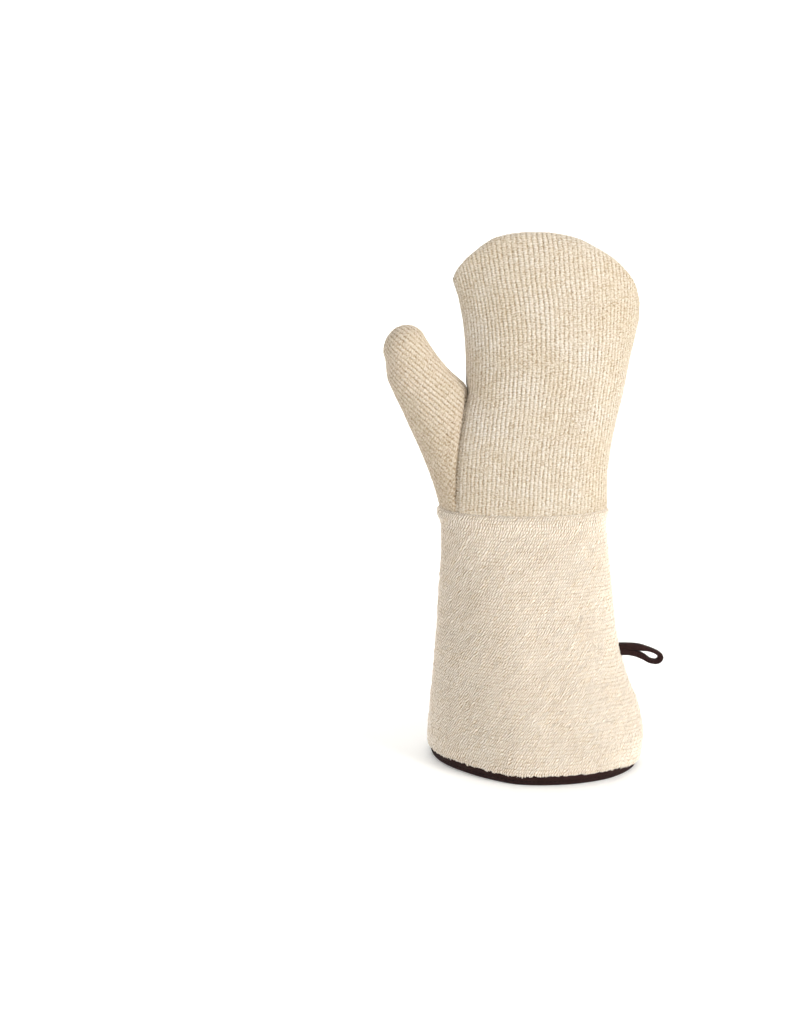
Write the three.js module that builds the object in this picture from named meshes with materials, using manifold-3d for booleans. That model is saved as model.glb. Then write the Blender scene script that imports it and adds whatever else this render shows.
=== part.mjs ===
// Terry cloth heat resistant mitt, millimetres, +Z up, palm side facing -Y.
// A hand pocket with a thumb pocket on its folded edge is sewn to a flared
// cuff. The cuff's hem is bound with tape and a tape loop hangs at its seam.
// The mitt stands upright on the bound hem.
import * as THREE from 'three';
import { mergeVertices } from 'three/addons/utils/BufferGeometryUtils.js';
import Module from 'manifold-3d';

const wasm = await Module();
wasm.setup();

// Cloth and fit
const WALL = 5.0;
const GAP = 0.3;
const SEAM_Z = 213.5;

// Binding tape folded over the hem, and the terry squeezed inside it
const TAPE = 1.1;
const BINDING_HEIGHT = 8.0;
const BINDING_PROUD = 0.3;
const HEM_TERRY = 1.6;
const BINDING_CORNER = 0.7;

// Hanging loop: one folded tape, both ends caught in the side seam
const LOOP_WIDTH = 6.0;
const LOOP_EDGE_ROUND = 1.0;
const LOOP_SLOT = { xMin: 76.2, xMax: 90.0, zMin: 89.6, zMax: 100.2 };

// Grid densities
const HAND_AROUND = 52;
const THUMB_AROUND = 30;
const CUFF_AROUND = 64;
const LOOP_EDGE_STEPS = 5;

// Left edge of the hand pocket: below the crotch it lies under the thumb
const HAND_LEFT = [
  { z: 213.5, x: -60.5 },
  { z: 230.0, x: -61.8 },
  { z: 246.0, x: -61.6 },
  { z: 262.0, x: -60.0 },
  { z: 277.0, x: -57.0 },
  { z: 291.0, x: -52.4 },
  { z: 301.0, x: -48.4 },
  { z: 309.5, x: -45.8 },
  { z: 331.0, x: -46.6 },
  { z: 354.5, x: -48.4 },
  { z: 377.8, x: -52.4 },
  { z: 387.0, x: -55.2 },
  { z: 394.5, x: -57.9 },
];

// Right edge of the hand pocket, along the little finger
const HAND_RIGHT = [
  { z: 213.5, x: 66.0 },
  { z: 222.0, x: 65.3 },
  { z: 237.0, x: 64.9 },
  { z: 252.0, x: 65.9 },
  { z: 283.4, x: 71.0 },
  { z: 307.3, x: 75.4 },
  { z: 331.0, x: 79.8 },
  { z: 350.0, x: 83.9 },
  { z: 364.0, x: 86.6 },
  { z: 376.0, x: 87.0 },
];

// Curved seam over the finger tips, left to right
const HAND_TOP = [
  { u: -1.0, x: -57.9, z: 394.5 },
  { u: -0.95, x: -56.2, z: 399.5 },
  { u: -0.88, x: -50.9, z: 406.8 },
  { u: -0.75, x: -41.6, z: 415.8 },
  { u: -0.5, x: -23.8, z: 426.9 },
  { u: -0.2, x: -3.0, z: 430.5 },
  { u: 0.0, x: 10.0, z: 430.6 },
  { u: 0.3, x: 33.4, z: 426.9 },
  { u: 0.5, x: 49.6, z: 420.1 },
  { u: 0.7, x: 64.5, z: 411.2 },
  { u: 0.85, x: 76.0, z: 400.9 },
  { u: 0.94, x: 83.2, z: 390.0 },
  { u: 1.0, x: 87.0, z: 376.0 },
];

// Half depth of the hand pocket, outside and inside, up to the top seam
const HAND_DEPTH = [
  { v: 0.0, outer: 30.0, inner: 25.0 },
  { v: 0.2, outer: 32.0, inner: 27.0 },
  { v: 0.45, outer: 32.5, inner: 27.5 },
  { v: 0.62, outer: 30.5, inner: 25.5 },
  { v: 0.76, outer: 26.0, inner: 21.0 },
  { v: 0.86, outer: 20.5, inner: 15.5 },
  { v: 0.93, outer: 14.5, inner: 9.5 },
  { v: 0.97, outer: 10.0, inner: 5.2 },
  { v: 0.99, outer: 6.2, inner: 3.0 },
  { v: 1.0, outer: 0.0, inner: 0.0 },
];
const HAND_FULLNESS = 2.3;

// Thumb pocket: sections from the cuff seam to the tip, outer and inner edge
const THUMB_SECTIONS = [
  { outerX: -66.2, outerZ: 213.5, innerX: -20.0, innerZ: 213.5, half: 17.0, y: 0.0 },
  { outerX: -70.2, outerZ: 228.0, innerX: -26.0, innerZ: 236.0, half: 17.2, y: -0.3 },
  { outerX: -77.0, outerZ: 247.0, innerX: -32.0, innerZ: 263.0, half: 17.4, y: -0.8 },
  { outerX: -86.4, outerZ: 270.0, innerX: -37.0, innerZ: 290.0, half: 18.4, y: -1.6 },
  { outerX: -94.4, outerZ: 288.5, innerX: -45.0, innerZ: 308.5, half: 19.4, y: -2.6 },
  { outerX: -102.2, outerZ: 305.0, innerX: -58.6, innerZ: 322.3, half: 19.2, y: -3.8 },
  { outerX: -108.1, outerZ: 320.0, innerX: -70.0, innerZ: 336.0, half: 18.2, y: -5.2 },
  { outerX: -109.2, outerZ: 333.5, innerX: -79.4, innerZ: 350.6, half: 16.9, y: -6.6 },
];
const THUMB_AXIS = { x: -0.4, z: 0.917 };
const THUMB_TIP_REACH = 16.0;
const THUMB_LEAN_AT_TIP = -1.4;
const THUMB_TIP_ANGLES = [20, 40, 58, 74, 90];

// Cuff: edges and half depth from the hem to the wrist seam
const CUFF_SHAPE = [
  { z: 0.0, left: -71.4, right: 95.0, half: 58.0, turn: 19.0 },
  { z: 7.6, left: -73.3, right: 97.7, half: 59.4, turn: 18.6 },
  { z: 16.4, left: -74.7, right: 99.6, half: 60.0, turn: 18.0 },
  { z: 25.1, left: -74.8, right: 100.0, half: 59.8, turn: 17.0 },
  { z: 33.7, left: -74.1, right: 98.9, half: 58.4, turn: 15.8 },
  { z: 51.0, left: -72.6, right: 94.7, half: 54.8, turn: 13.2 },
  { z: 68.2, left: -71.1, right: 87.6, half: 51.2, turn: 10.8 },
  { z: 85.3, left: -70.0, right: 81.9, half: 47.8, turn: 8.6 },
  { z: 102.3, left: -68.8, right: 77.8, half: 44.6, turn: 6.8 },
  { z: 119.2, left: -67.9, right: 74.9, half: 41.6, turn: 5.2 },
  { z: 152.8, left: -66.5, right: 70.8, half: 36.4, turn: 2.6 },
  { z: 177.7, left: -65.2, right: 67.8, half: 33.0, turn: 1.0 },
  { z: 197.0, left: -65.2, right: 65.6, half: 30.8, turn: 0.2 },
  { z: 203.0, left: -65.9, right: 65.3, half: 30.7, turn: 0.0 },
  { z: 207.5, left: -67.9, right: 66.2, half: 31.2, turn: 0.0 },
  { z: 211.5, left: -68.0, right: 66.9, half: 31.1, turn: 0.0 },
  { z: 213.5, left: -66.6, right: 66.2, half: 30.2, turn: 0.0 },
];
const CUFF_FULLNESS = 2.05;

// Soft folds of the cuff, across (u), up (z), spreads, height, slant, side
const CUFF_FOLDS = [
  { u: -0.68, z: 30.0, across: 0.14, up: 50.0, height: -1.6, slant: 0.001, side: -1 },
  { u: -0.26, z: 12.0, across: 0.14, up: 46.0, height: 1.2, slant: 0.0005, side: -1 },
  { u: -0.78, z: 135.0, across: 0.16, up: 46.0, height: -2.0, slant: 0.001, side: -1 },
  { u: -0.2, z: 130.0, across: 0.22, up: 60.0, height: 2.0, slant: -0.001, side: -1 },
  { u: 0.62, z: 22.0, across: 0.1, up: 34.0, height: 0.9, slant: -0.003, side: -1 },
  { u: 0.12, z: 66.0, across: 0.2, up: 60.0, height: -1.0, slant: 0.0, side: -1 },
  { u: 0.4, z: 22.0, across: 0.18, up: 50.0, height: -2.2, slant: 0.0, side: 1 },
  { u: -0.35, z: 30.0, across: 0.2, up: 60.0, height: 2.0, slant: 0.0, side: 1 },
  { u: 0.7, z: 130.0, across: 0.16, up: 50.0, height: -1.6, slant: 0.0, side: 1 },
];
const TURN_START = -0.1;
const TURN_SOFTNESS = 0.02;

const CUFF_ROWS = [12, 20, 28, 38, 51, 66, 82, 98, 114, 130, 147, 164, 180, 191, 198];
const RIM_ROWS = [203.5, 206.5, 209.0, 211.4];

// Outline of the loop in the X-Z plane, and its eye
const LOOP_OUTLINE = [
  { x: 76.5, z: 99.8 },
  { x: 84.0, z: 99.8 },
  { x: 91.0, z: 99.6 },
  { x: 98.2, z: 98.4 },
  { x: 106.2, z: 95.1 },
  { x: 112.3, z: 90.9 },
  { x: 114.9, z: 87.4 },
  { x: 113.3, z: 84.2 },
  { x: 108.6, z: 82.3 },
  { x: 103.6, z: 83.3 },
  { x: 98.2, z: 86.3 },
  { x: 92.1, z: 88.8 },
  { x: 85.5, z: 89.9 },
  { x: 76.5, z: 90.0 },
];
const LOOP_EYE = [
  { x: 96.4, z: 93.5 },
  { x: 102.2, z: 93.4 },
  { x: 107.4, z: 91.6 },
  { x: 110.1, z: 88.7 },
  { x: 109.2, z: 86.6 },
  { x: 106.2, z: 86.0 },
  { x: 102.2, z: 87.8 },
  { x: 98.9, z: 90.8 },
];

const CREAM_TERRY = 0xe9dcc6;
const BROWN_TAPE = 0x3b2826;

const lerp = (a, b, t) => a + (b - a) * t;

// Smooth curve through a table: cubic between rows, never past them
function curve(table, key, column) {
  const at = table.map((row) => row[key]);
  const value = table.map((row) => row[column]);
  const slope = value.map((v, i) => {
    if (i === 0) return (value[1] - v) / (at[1] - at[0]);
    if (i === value.length - 1) return (v - value[i - 1]) / (at[i] - at[i - 1]);
    const before = (v - value[i - 1]) / (at[i] - at[i - 1]);
    const after = (value[i + 1] - v) / (at[i + 1] - at[i]);
    return before * after <= 0 ? 0 : (2 * before * after) / (before + after);
  });
  return (t) => {
    let i = 0;
    while (i < at.length - 2 && t > at[i + 1]) i += 1;
    const span = at[i + 1] - at[i];
    const s = Math.min(Math.max((t - at[i]) / span, 0), 1);
    const h = s * s * (3 - 2 * s);
    const rise = span * s * (1 - s) * ((1 - s) * slope[i] - s * slope[i + 1]);
    return lerp(value[i], value[i + 1], h) + rise;
  };
}

const handLeft = curve(HAND_LEFT, 'z', 'x');
const handRight = curve(HAND_RIGHT, 'z', 'x');
const handTopX = curve(HAND_TOP, 'u', 'x');
const handTopZ = curve(HAND_TOP, 'u', 'z');
const handOuterDepth = curve(HAND_DEPTH, 'v', 'outer');
const handInnerDepth = curve(HAND_DEPTH, 'v', 'inner');
const cuffLeft = curve(CUFF_SHAPE, 'z', 'left');
const cuffRight = curve(CUFF_SHAPE, 'z', 'right');
const cuffHalf = curve(CUFF_SHAPE, 'z', 'half');
const cuffTurn = curve(CUFF_SHAPE, 'z', 'turn');

// Rounded cross-section: u runs -1 to 1 and back, depth is negative in front
function section(angle, fullness) {
  const sine = Math.sin(angle);
  const depth = -Math.sign(sine) * Math.abs(sine) ** (2 / fullness);
  return { u: -Math.cos(angle), depth };
}

// Place on the hand's face: edges and top seam blended into one patch
function handFace(u, v, inset) {
  const s = (u + 1) / 2;
  const leftTop = HAND_LEFT[HAND_LEFT.length - 1];
  const rightTop = HAND_RIGHT[HAND_RIGHT.length - 1];
  const leftZ = lerp(SEAM_Z, leftTop.z, v);
  const rightZ = lerp(SEAM_Z, rightTop.z, v);
  const bottomX = lerp(handLeft(SEAM_Z), handRight(SEAM_Z), s);
  const flatX = lerp(lerp(handLeft(SEAM_Z), leftTop.x, v), lerp(handRight(SEAM_Z), rightTop.x, v), s);
  const flatZ = lerp(leftZ, rightZ, s);
  let x = lerp(handLeft(leftZ), handRight(rightZ), s) + lerp(bottomX, handTopX(u), v) - flatX;
  let z = flatZ + lerp(SEAM_Z, handTopZ(u), v) - flatZ;
  x -= inset * u;
  z -= 1.5 * inset * v * (1 - 0.5 * u * u);
  return { x, z };
}

function handPoint(angle, v, inset, depth) {
  const { u, depth: side } = section(angle, HAND_FULLNESS);
  const face = handFace(u, v, inset);
  return new THREE.Vector3(face.x, side * depth(v), face.z);
}

function cuffPoint(angle, z) {
  const { u, depth: side } = section(angle, CUFF_FULLNESS);
  const middle = (cuffLeft(z) + cuffRight(z)) / 2;
  const halfWidth = (cuffRight(z) - cuffLeft(z)) / 2;
  let swell = 0;
  for (const fold of CUFF_FOLDS) {
    if (fold.side * side < 0) continue;
    const across = (u - fold.u - fold.slant * (z - fold.z)) / fold.across;
    const up = (z - fold.z) / fold.up;
    const fade = Math.min(Math.abs(side) * 2, 1);
    swell += fold.side * fold.height * fade * Math.exp(-across * across - up * up);
  }
  const wristFade = Math.min(Math.max((SEAM_Z - 6 - z) / 25, 0), 1);
  const past = u - TURN_START;
  const bend = (Math.sqrt(past * past + TURN_SOFTNESS) - past) / 2;
  const y = side * cuffHalf(z) + cuffTurn(z) * bend + swell * wristFade;
  return new THREE.Vector2(middle + halfWidth * u, y);
}

// Ring around the cuff at height z, moved in from its outside by the inset
function cuffRing(z, inset, level) {
  const ring = [];
  const step = (2 * Math.PI) / CUFF_AROUND;
  for (let i = 0; i < CUFF_AROUND; i += 1) {
    const here = cuffPoint(i * step, z);
    const ahead = cuffPoint(i * step + 0.02, z);
    const behind = cuffPoint(i * step - 0.02, z);
    const along = ahead.sub(behind).normalize();
    ring.push(new THREE.Vector3(here.x - inset * along.y, here.y + inset * along.x, level ?? z));
  }
  return ring;
}

// Triangles between rings of equal count; rings are counter-clockwise
function skin(rings, { around = false, cap = [] } = {}) {
  const points = [];
  const count = rings[0].length;
  const strip = (lower, upper) => {
    for (let i = 0; i < count; i += 1) {
      const j = (i + 1) % count;
      points.push(lower[i], lower[j], upper[j], lower[i], upper[j], upper[i]);
    }
  };
  for (let r = 0; r + 1 < rings.length; r += 1) strip(rings[r], rings[r + 1]);
  if (around) strip(rings[rings.length - 1], rings[0]);
  for (const end of cap) {
    const ring = end === 'first' ? rings[0] : rings[rings.length - 1];
    const centre = ring.reduce((sum, p) => sum.add(p), new THREE.Vector3()).divideScalar(count);
    for (let i = 0; i < count; i += 1) {
      const j = (i + 1) % count;
      if (end === 'first') points.push(ring[j], ring[i], centre);
      else points.push(ring[i], ring[j], centre);
    }
  }
  return mergeVertices(new THREE.BufferGeometry().setFromPoints(points), 1e-4);
}

function toManifold(geometry) {
  const plain = geometry.clone();
  plain.deleteAttribute('normal');
  plain.deleteAttribute('uv');
  const merged = mergeVertices(plain, 1e-4);
  const index = Array.from(merged.index.array);
  const kept = [];
  for (let i = 0; i < index.length; i += 3) {
    const [a, b, c] = index.slice(i, i + 3);
    if (a !== b && b !== c && a !== c) kept.push(a, b, c);
  }
  const mesh = new wasm.Mesh({
    numProp: 3,
    vertProperties: Float32Array.from(merged.attributes.position.array),
    triVerts: Uint32Array.from(kept),
  });
  return new wasm.Manifold(mesh);
}

function fromManifold(solid) {
  const mesh = solid.getMesh();
  const geometry = new THREE.BufferGeometry();
  const positions = Float32Array.from(mesh.vertProperties);
  geometry.setAttribute('position', new THREE.BufferAttribute(positions, 3));
  geometry.setIndex(Array.from(mesh.triVerts));
  geometry.computeVertexNormals();
  return geometry;
}

// Hand pocket as a filled form, outside or inside
const HAND_OUTER_ROWS = [0, 0.1, 0.2, 0.32, 0.44, 0.54, 0.63, 0.71, 0.78, 0.84, 0.885, 0.925, 0.955, 0.975, 0.99, 1];
const HAND_INNER_ROWS = [0, 0.16, 0.32, 0.46, 0.58, 0.69, 0.78, 0.86, 0.92, 0.96, 0.985, 1];

function handForm(rows, inset, depth, bottom) {
  const angles = [];
  for (let i = 0; i < HAND_AROUND; i += 1) angles.push((2 * Math.PI * i) / HAND_AROUND);
  const rings = rows.map((v) => angles.map((a) => handPoint(a, v, inset, depth)));
  for (const point of rings[0]) point.z = bottom;
  return toManifold(skin(rings, { cap: ['first'] }));
}

// Thumb pocket as a filled form; the inset thins it to the inside
function thumbForm(inset, bottom) {
  const rings = [];
  const ringAt = (middle, across, half) => {
    const ring = [];
    for (let i = 0; i < THUMB_AROUND; i += 1) {
      const angle = (2 * Math.PI * i) / THUMB_AROUND;
      const point = middle.clone().addScaledVector(across, -Math.cos(angle));
      point.y -= half * Math.sin(angle);
      ring.push(point);
    }
    return ring;
  };
  let last;
  THUMB_SECTIONS.forEach((row, k) => {
    const outer = new THREE.Vector3(row.outerX, row.y, row.outerZ);
    const inner = new THREE.Vector3(row.innerX, row.y, row.innerZ);
    const across = inner.clone().sub(outer).multiplyScalar(0.5);
    const middle = outer.clone().add(across);
    across.setLength(across.length() - inset);
    if (k === 0) middle.z = bottom;
    last = { middle, across, half: row.half - inset };
    rings.push(ringAt(middle, across, last.half));
  });
  const reach = THUMB_TIP_REACH - inset;
  for (const degrees of THUMB_TIP_ANGLES) {
    const turn = THREE.MathUtils.degToRad(degrees);
    const middle = last.middle.clone();
    middle.x += THUMB_AXIS.x * reach * Math.sin(turn);
    middle.y += THUMB_LEAN_AT_TIP * Math.sin(turn);
    middle.z += THUMB_AXIS.z * reach * Math.sin(turn);
    const shrink = Math.cos(turn);
    rings.push(ringAt(middle, last.across.clone().multiplyScalar(shrink), last.half * shrink));
  }
  return toManifold(skin(rings, { cap: ['first'] }));
}

const handOuter = handForm(HAND_OUTER_ROWS, 0, handOuterDepth, SEAM_Z + GAP / 2);
const grownDepth = (v) => (v < 1 ? handOuterDepth(v) + GAP : 0);
const handGrown = handForm(HAND_OUTER_ROWS, -GAP, grownDepth, SEAM_Z - 4);
const handInner = handForm(HAND_INNER_ROWS, WALL, handInnerDepth, SEAM_Z - 4);
const thumbOuter = thumbForm(0, SEAM_Z + GAP / 2);
const thumbInner = thumbForm(WALL, SEAM_Z - 4);

const handPocket = handOuter.subtract(handInner).subtract(thumbInner);
const thumbPocket = thumbOuter.subtract(thumbInner).subtract(handGrown);

// Cuff wall: up the outside, over the rim, down the inside, under the hem
const hemOuterInset = BINDING_PROUD + TAPE + GAP;
const hemInnerInset = hemOuterInset + HEM_TERRY;
const hemBottom = TAPE + 2 * GAP;
const shoulder = BINDING_HEIGHT + GAP;
const cuffTop = SEAM_Z - GAP / 2;
const cuffRings = [
  cuffRing(hemBottom, hemOuterInset),
  cuffRing(shoulder, hemOuterInset),
  cuffRing(shoulder + 0.4, hemOuterInset * 0.4),
  cuffRing(shoulder + 1.6, 0.1),
];
for (const z of [...CUFF_ROWS, ...RIM_ROWS]) cuffRings.push(cuffRing(z, 0));
cuffRings.push(cuffRing(cuffTop, 0.2));
cuffRings.push(cuffRing(cuffTop, WALL));
for (const z of CUFF_ROWS.slice(1).reverse().filter((_, i) => i % 2 === 0)) {
  cuffRings.push(cuffRing(z, WALL));
}
cuffRings.push(cuffRing(shoulder + 2.4, WALL));
cuffRings.push(cuffRing(shoulder + 0.3, hemInnerInset + 0.8));
cuffRings.push(cuffRing(shoulder, hemInnerInset));
cuffRings.push(cuffRing(hemBottom, hemInnerInset));

const slotSize = {
  x: LOOP_SLOT.xMax - LOOP_SLOT.xMin,
  y: LOOP_WIDTH + 2 * GAP,
  z: LOOP_SLOT.zMax - LOOP_SLOT.zMin,
};
const slot = new THREE.BoxGeometry(slotSize.x, slotSize.y, slotSize.z);
slot.translate(
  (LOOP_SLOT.xMin + LOOP_SLOT.xMax) / 2,
  0,
  (LOOP_SLOT.zMin + LOOP_SLOT.zMax) / 2,
);
const cuff = toManifold(skin(cuffRings, { around: true })).subtract(toManifold(slot));

// Binding: tape folded into a channel around the hem, flat underneath
const legOut = BINDING_PROUD;
const legIn = hemInnerInset + GAP + TAPE;
const bindingProfile = [
  { z: 0, inset: legOut + BINDING_CORNER },
  { z: BINDING_CORNER * 0.3, inset: legOut + BINDING_CORNER * 0.3 },
  { z: BINDING_CORNER, inset: legOut },
  { z: BINDING_HEIGHT, inset: legOut },
  { z: BINDING_HEIGHT, inset: legOut + TAPE },
  { z: TAPE + GAP, inset: legOut + TAPE },
  { z: TAPE + GAP, inset: legIn - TAPE },
  { z: BINDING_HEIGHT, inset: legIn - TAPE },
  { z: BINDING_HEIGHT, inset: legIn },
  { z: BINDING_CORNER, inset: legIn },
  { z: BINDING_CORNER * 0.3, inset: legIn - BINDING_CORNER * 0.3 },
  { z: 0, inset: legIn - BINDING_CORNER },
];
const bindingRings = bindingProfile.map((row) => cuffRing(row.z, row.inset));
const binding = skin(bindingRings, { around: true });

// Loop: the flat outline with its eye, given the tape's width and soft edges
function smoothClosed(table, sharpEnds) {
  const points = table.map((row) => new THREE.Vector2(row.x, row.z));
  if (sharpEnds) return new THREE.SplineCurve(points).getPoints((points.length - 1) * 2);
  const loop = points.map((p) => new THREE.Vector3(p.x, p.y, 0));
  const around = new THREE.CatmullRomCurve3(loop, true).getPoints(points.length * 2);
  return around.slice(0, -1).map((p) => new THREE.Vector2(p.x, p.y));
}
const loopShape = new THREE.Shape(smoothClosed(LOOP_OUTLINE, true));
loopShape.holes.push(new THREE.Path(smoothClosed(LOOP_EYE, false).reverse()));
const loopGeometry = new THREE.ExtrudeGeometry(loopShape, {
  depth: LOOP_WIDTH - 2 * LOOP_EDGE_ROUND,
  bevelEnabled: true,
  bevelSize: LOOP_EDGE_ROUND,
  bevelOffset: -LOOP_EDGE_ROUND,
  bevelThickness: LOOP_EDGE_ROUND,
  bevelSegments: 2,
  steps: 1,
});
loopGeometry.rotateX(Math.PI / 2);
loopGeometry.translate(0, (LOOP_WIDTH - 2 * LOOP_EDGE_ROUND) / 2, 0);

const group = new THREE.Group();
group.name = 'terry_cloth_mitt';
const pieces = [
  { name: 'hand_pocket', geometry: fromManifold(handPocket), color: CREAM_TERRY },
  { name: 'thumb_pocket', geometry: fromManifold(thumbPocket), color: CREAM_TERRY },
  { name: 'gauntlet_cuff', geometry: fromManifold(cuff), color: CREAM_TERRY },
  { name: 'hem_binding', geometry: fromManifold(toManifold(binding)), color: BROWN_TAPE },
  { name: 'hanging_loop', geometry: fromManifold(toManifold(loopGeometry)), color: BROWN_TAPE },
];
const box = new THREE.Box3();
for (const piece of pieces) {
  piece.geometry.computeBoundingBox();
  box.union(piece.geometry.boundingBox);
}
const middle = box.getCenter(new THREE.Vector3());
for (const piece of pieces) {
  piece.geometry.translate(-middle.x, -middle.y, -box.min.z);
  const material = new THREE.MeshStandardMaterial({ color: piece.color, roughness: 0.95 });
  const mesh = new THREE.Mesh(piece.geometry, material);
  mesh.name = piece.name;
  group.add(mesh);
}

export default group;
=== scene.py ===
# %% [markdown]
# # A terry cloth heat resistant mitt
# The real mitt is sewn from thick cotton terry whose loops lie in ropes: they
# run up the hand and the thumb, and across the cuff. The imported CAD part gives
# the true size and the plain walls. This lesson dresses it: each cloth piece
# is worked out again as a fine grid of points with its loops standing up.

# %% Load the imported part
import math

import bpy
import numpy as np
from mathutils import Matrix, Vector


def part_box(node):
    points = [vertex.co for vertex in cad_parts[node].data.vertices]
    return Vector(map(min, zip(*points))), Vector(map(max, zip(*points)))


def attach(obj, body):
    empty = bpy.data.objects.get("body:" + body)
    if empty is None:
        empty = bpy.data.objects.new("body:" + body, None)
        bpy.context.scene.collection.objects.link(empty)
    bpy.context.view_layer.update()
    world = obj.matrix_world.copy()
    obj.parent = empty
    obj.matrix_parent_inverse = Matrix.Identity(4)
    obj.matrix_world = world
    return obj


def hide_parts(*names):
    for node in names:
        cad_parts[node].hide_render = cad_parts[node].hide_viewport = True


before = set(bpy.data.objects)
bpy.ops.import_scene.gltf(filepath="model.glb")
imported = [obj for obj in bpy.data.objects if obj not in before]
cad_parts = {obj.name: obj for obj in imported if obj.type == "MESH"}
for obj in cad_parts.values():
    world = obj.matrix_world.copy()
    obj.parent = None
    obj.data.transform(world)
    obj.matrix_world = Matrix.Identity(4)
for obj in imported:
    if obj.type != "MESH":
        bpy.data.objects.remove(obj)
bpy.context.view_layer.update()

MM = 0.001


# %% [markdown]
# ## Millimetres and the CAD's own place
# The shapes below are in millimetres, in the drawing that the CAD part was
# made from. The CAD then moved that drawing so that its box stands centred on
# the origin. The hanging loop shows by how much: in the drawing it is centred
# on Y = 0 and its tip is at X = 114.9.

# %% Place the drawing in the part's frame
LOOP_TIP_X = 114.9
loop_low, loop_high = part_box("hanging_loop")
loop_middle_y = (loop_low[1] + loop_high[1]) / 2
SHIFT = np.array([loop_high[0] / MM - LOOP_TIP_X, loop_middle_y / MM, 0.0])


def to_frame(points):
    """Drawing millimetres to metres in the part's frame: move, then scale."""
    return (np.asarray(points, float) + SHIFT) * MM


print("drawing moved by, mm:", SHIFT.round(2))

# %% [markdown]
# ## Smooth lines through short tables
# Each edge of the mitt is a short table. Straight lines between its rows would
# show corners, and a plain cubic can swing past them, so the slope at a row is
# the harmonic mean of its neighbours' slopes, or zero where they change sign.

# %% Smooth line


def smooth_line(at, value):
    """Returns a function that runs smoothly through the table. Between two
    rows it is a cubic: a smooth step plus the two end slopes."""
    at, value = np.asarray(at, float), np.asarray(value, float)
    step = np.diff(value) / np.diff(at)
    slope = np.zeros_like(value)
    slope[0], slope[-1] = step[0], step[-1]
    same_way = step[:-1] * step[1:] > 0
    total = np.where(same_way, step[:-1] + step[1:], 1.0)
    slope[1:-1] = np.where(same_way, 2 * step[:-1] * step[1:] / total, 0.0)

    def line(t):
        t = np.clip(t, at[0], at[-1])
        i = np.clip(np.searchsorted(at, t, side="right") - 1, 0, len(at) - 2)
        span = at[i + 1] - at[i]
        s = (t - at[i]) / span
        h = s * s * (3 - 2 * s)
        bend = span * s * (1 - s) * ((1 - s) * slope[i] - s * slope[i + 1])
        return value[i] * (1 - h) + value[i + 1] * h + bend

    return line


def table_lines(table):
    """One smooth line for each column after the first, which is the key."""
    columns = np.array(table, float).T
    return [smooth_line(columns[0], column) for column in columns[1:]]

# %% [markdown]
# ## Grids into meshes
# A surface is a grid of points, rows by columns. Each cell of the grid is one
# four-sided face. A cloth wall has two such grids, outside and inside, and a
# strip of triangles round the edge closes them into one shell.

# %% Grid, rim and mesh


def grid_faces(rows, columns, first=0, closed=False, flip=False):
    """Four corners for each cell of a grid, counter-clockwise from outside."""
    last = columns if closed else columns - 1
    r, c = np.meshgrid(np.arange(rows - 1), np.arange(last), indexing="ij")
    d = (c + 1) % columns
    lower, upper = r * columns, (r + 1) * columns
    corners = [lower + c, lower + d, upper + d, upper + c]
    cells = np.stack(corners, -1).reshape(-1, 4) + first
    return cells[:, ::-1] if flip else cells


def rim_strip(outer, inner):
    """Triangles between a fine edge and a coarser one: each point of the fine
    edge is tied to the coarse point at the same share of the way along."""
    n, m = len(outer) - 1, len(inner) - 1
    tied = np.round(np.arange(n + 1) * m / n).astype(int)
    i = np.arange(n)
    first = np.stack([outer[i + 1], outer[i], inner[tied[i]]], -1)
    k = np.nonzero(tied[1:] > tied[:-1])[0]
    second = np.stack([outer[k + 1], inner[tied[k]], inner[tied[k + 1]]], -1)
    return np.concatenate([first, second])


def cloth_shell(outside, inside):
    """Points and faces of a closed wall from its outside and inside grids."""
    (rows, columns, _), (inner_rows, inner_columns, _) = outside.shape, inside.shape
    count = rows * columns
    out = np.arange(count).reshape(rows, columns)
    inn = count + np.arange(inner_rows * inner_columns).reshape(inner_rows, inner_columns)
    faces = [
        grid_faces(rows, columns),
        grid_faces(inner_rows, inner_columns, first=count, flip=True),
        rim_strip(out[0], inn[0]),
        rim_strip(out[:, -1], inn[:, -1]),
        rim_strip(out[-1, ::-1], inn[-1, ::-1]),
        rim_strip(out[::-1, 0], inn[::-1, 0]),
    ]
    return np.concatenate([outside.reshape(-1, 3), inside.reshape(-1, 3)]), faces


def new_piece(name, points, faces, cloth=None, marks=None):
    """Makes a mesh object. cloth is each point's place on the flat cloth, kept
    as the UV map; marks are how high the loops stand, lowered at pulled seams
    as painted shade, and how brushed it is, raised also where the material
    paints shade."""
    faces = [faces] if isinstance(faces, np.ndarray) else faces
    corners = np.concatenate([f.ravel() for f in faces]).astype(np.int32)
    counts = np.concatenate([np.full(len(f), f.shape[1]) for f in faces])
    starts = np.concatenate([[0], np.cumsum(counts)[:-1]]).astype(np.int32)
    mesh = bpy.data.meshes.new(name)
    mesh.vertices.add(len(points))
    mesh.vertices.foreach_set("co", to_frame(points).astype(np.float32).ravel())
    mesh.loops.add(len(corners))
    mesh.loops.foreach_set("vertex_index", corners)
    mesh.polygons.add(len(counts))
    mesh.polygons.foreach_set("loop_start", starts)
    mesh.update(calc_edges=True)
    mesh.shade_smooth()
    if cloth is not None:
        layer = mesh.uv_layers.new(name="cloth")
        layer.data.foreach_set("uv", np.asarray(cloth, np.float32)[corners].ravel())
    for mark, values in zip(("pile", "brushed_and_shade"), () if marks is None else marks.T):
        layer = mesh.attributes.new(mark, "FLOAT", "POINT")
        layer.data.foreach_set("value", np.ascontiguousarray(values, np.float32))
    piece = bpy.data.objects.new(name, mesh)
    bpy.context.scene.collection.objects.link(piece)
    return piece


def triangles(piece):
    """How many triangles the piece has once each face is cut into them."""
    counts = np.zeros(len(piece.data.polygons), np.int32)
    piece.data.polygons.foreach_get("loop_total", counts)
    return int((counts - 2).sum())


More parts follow.
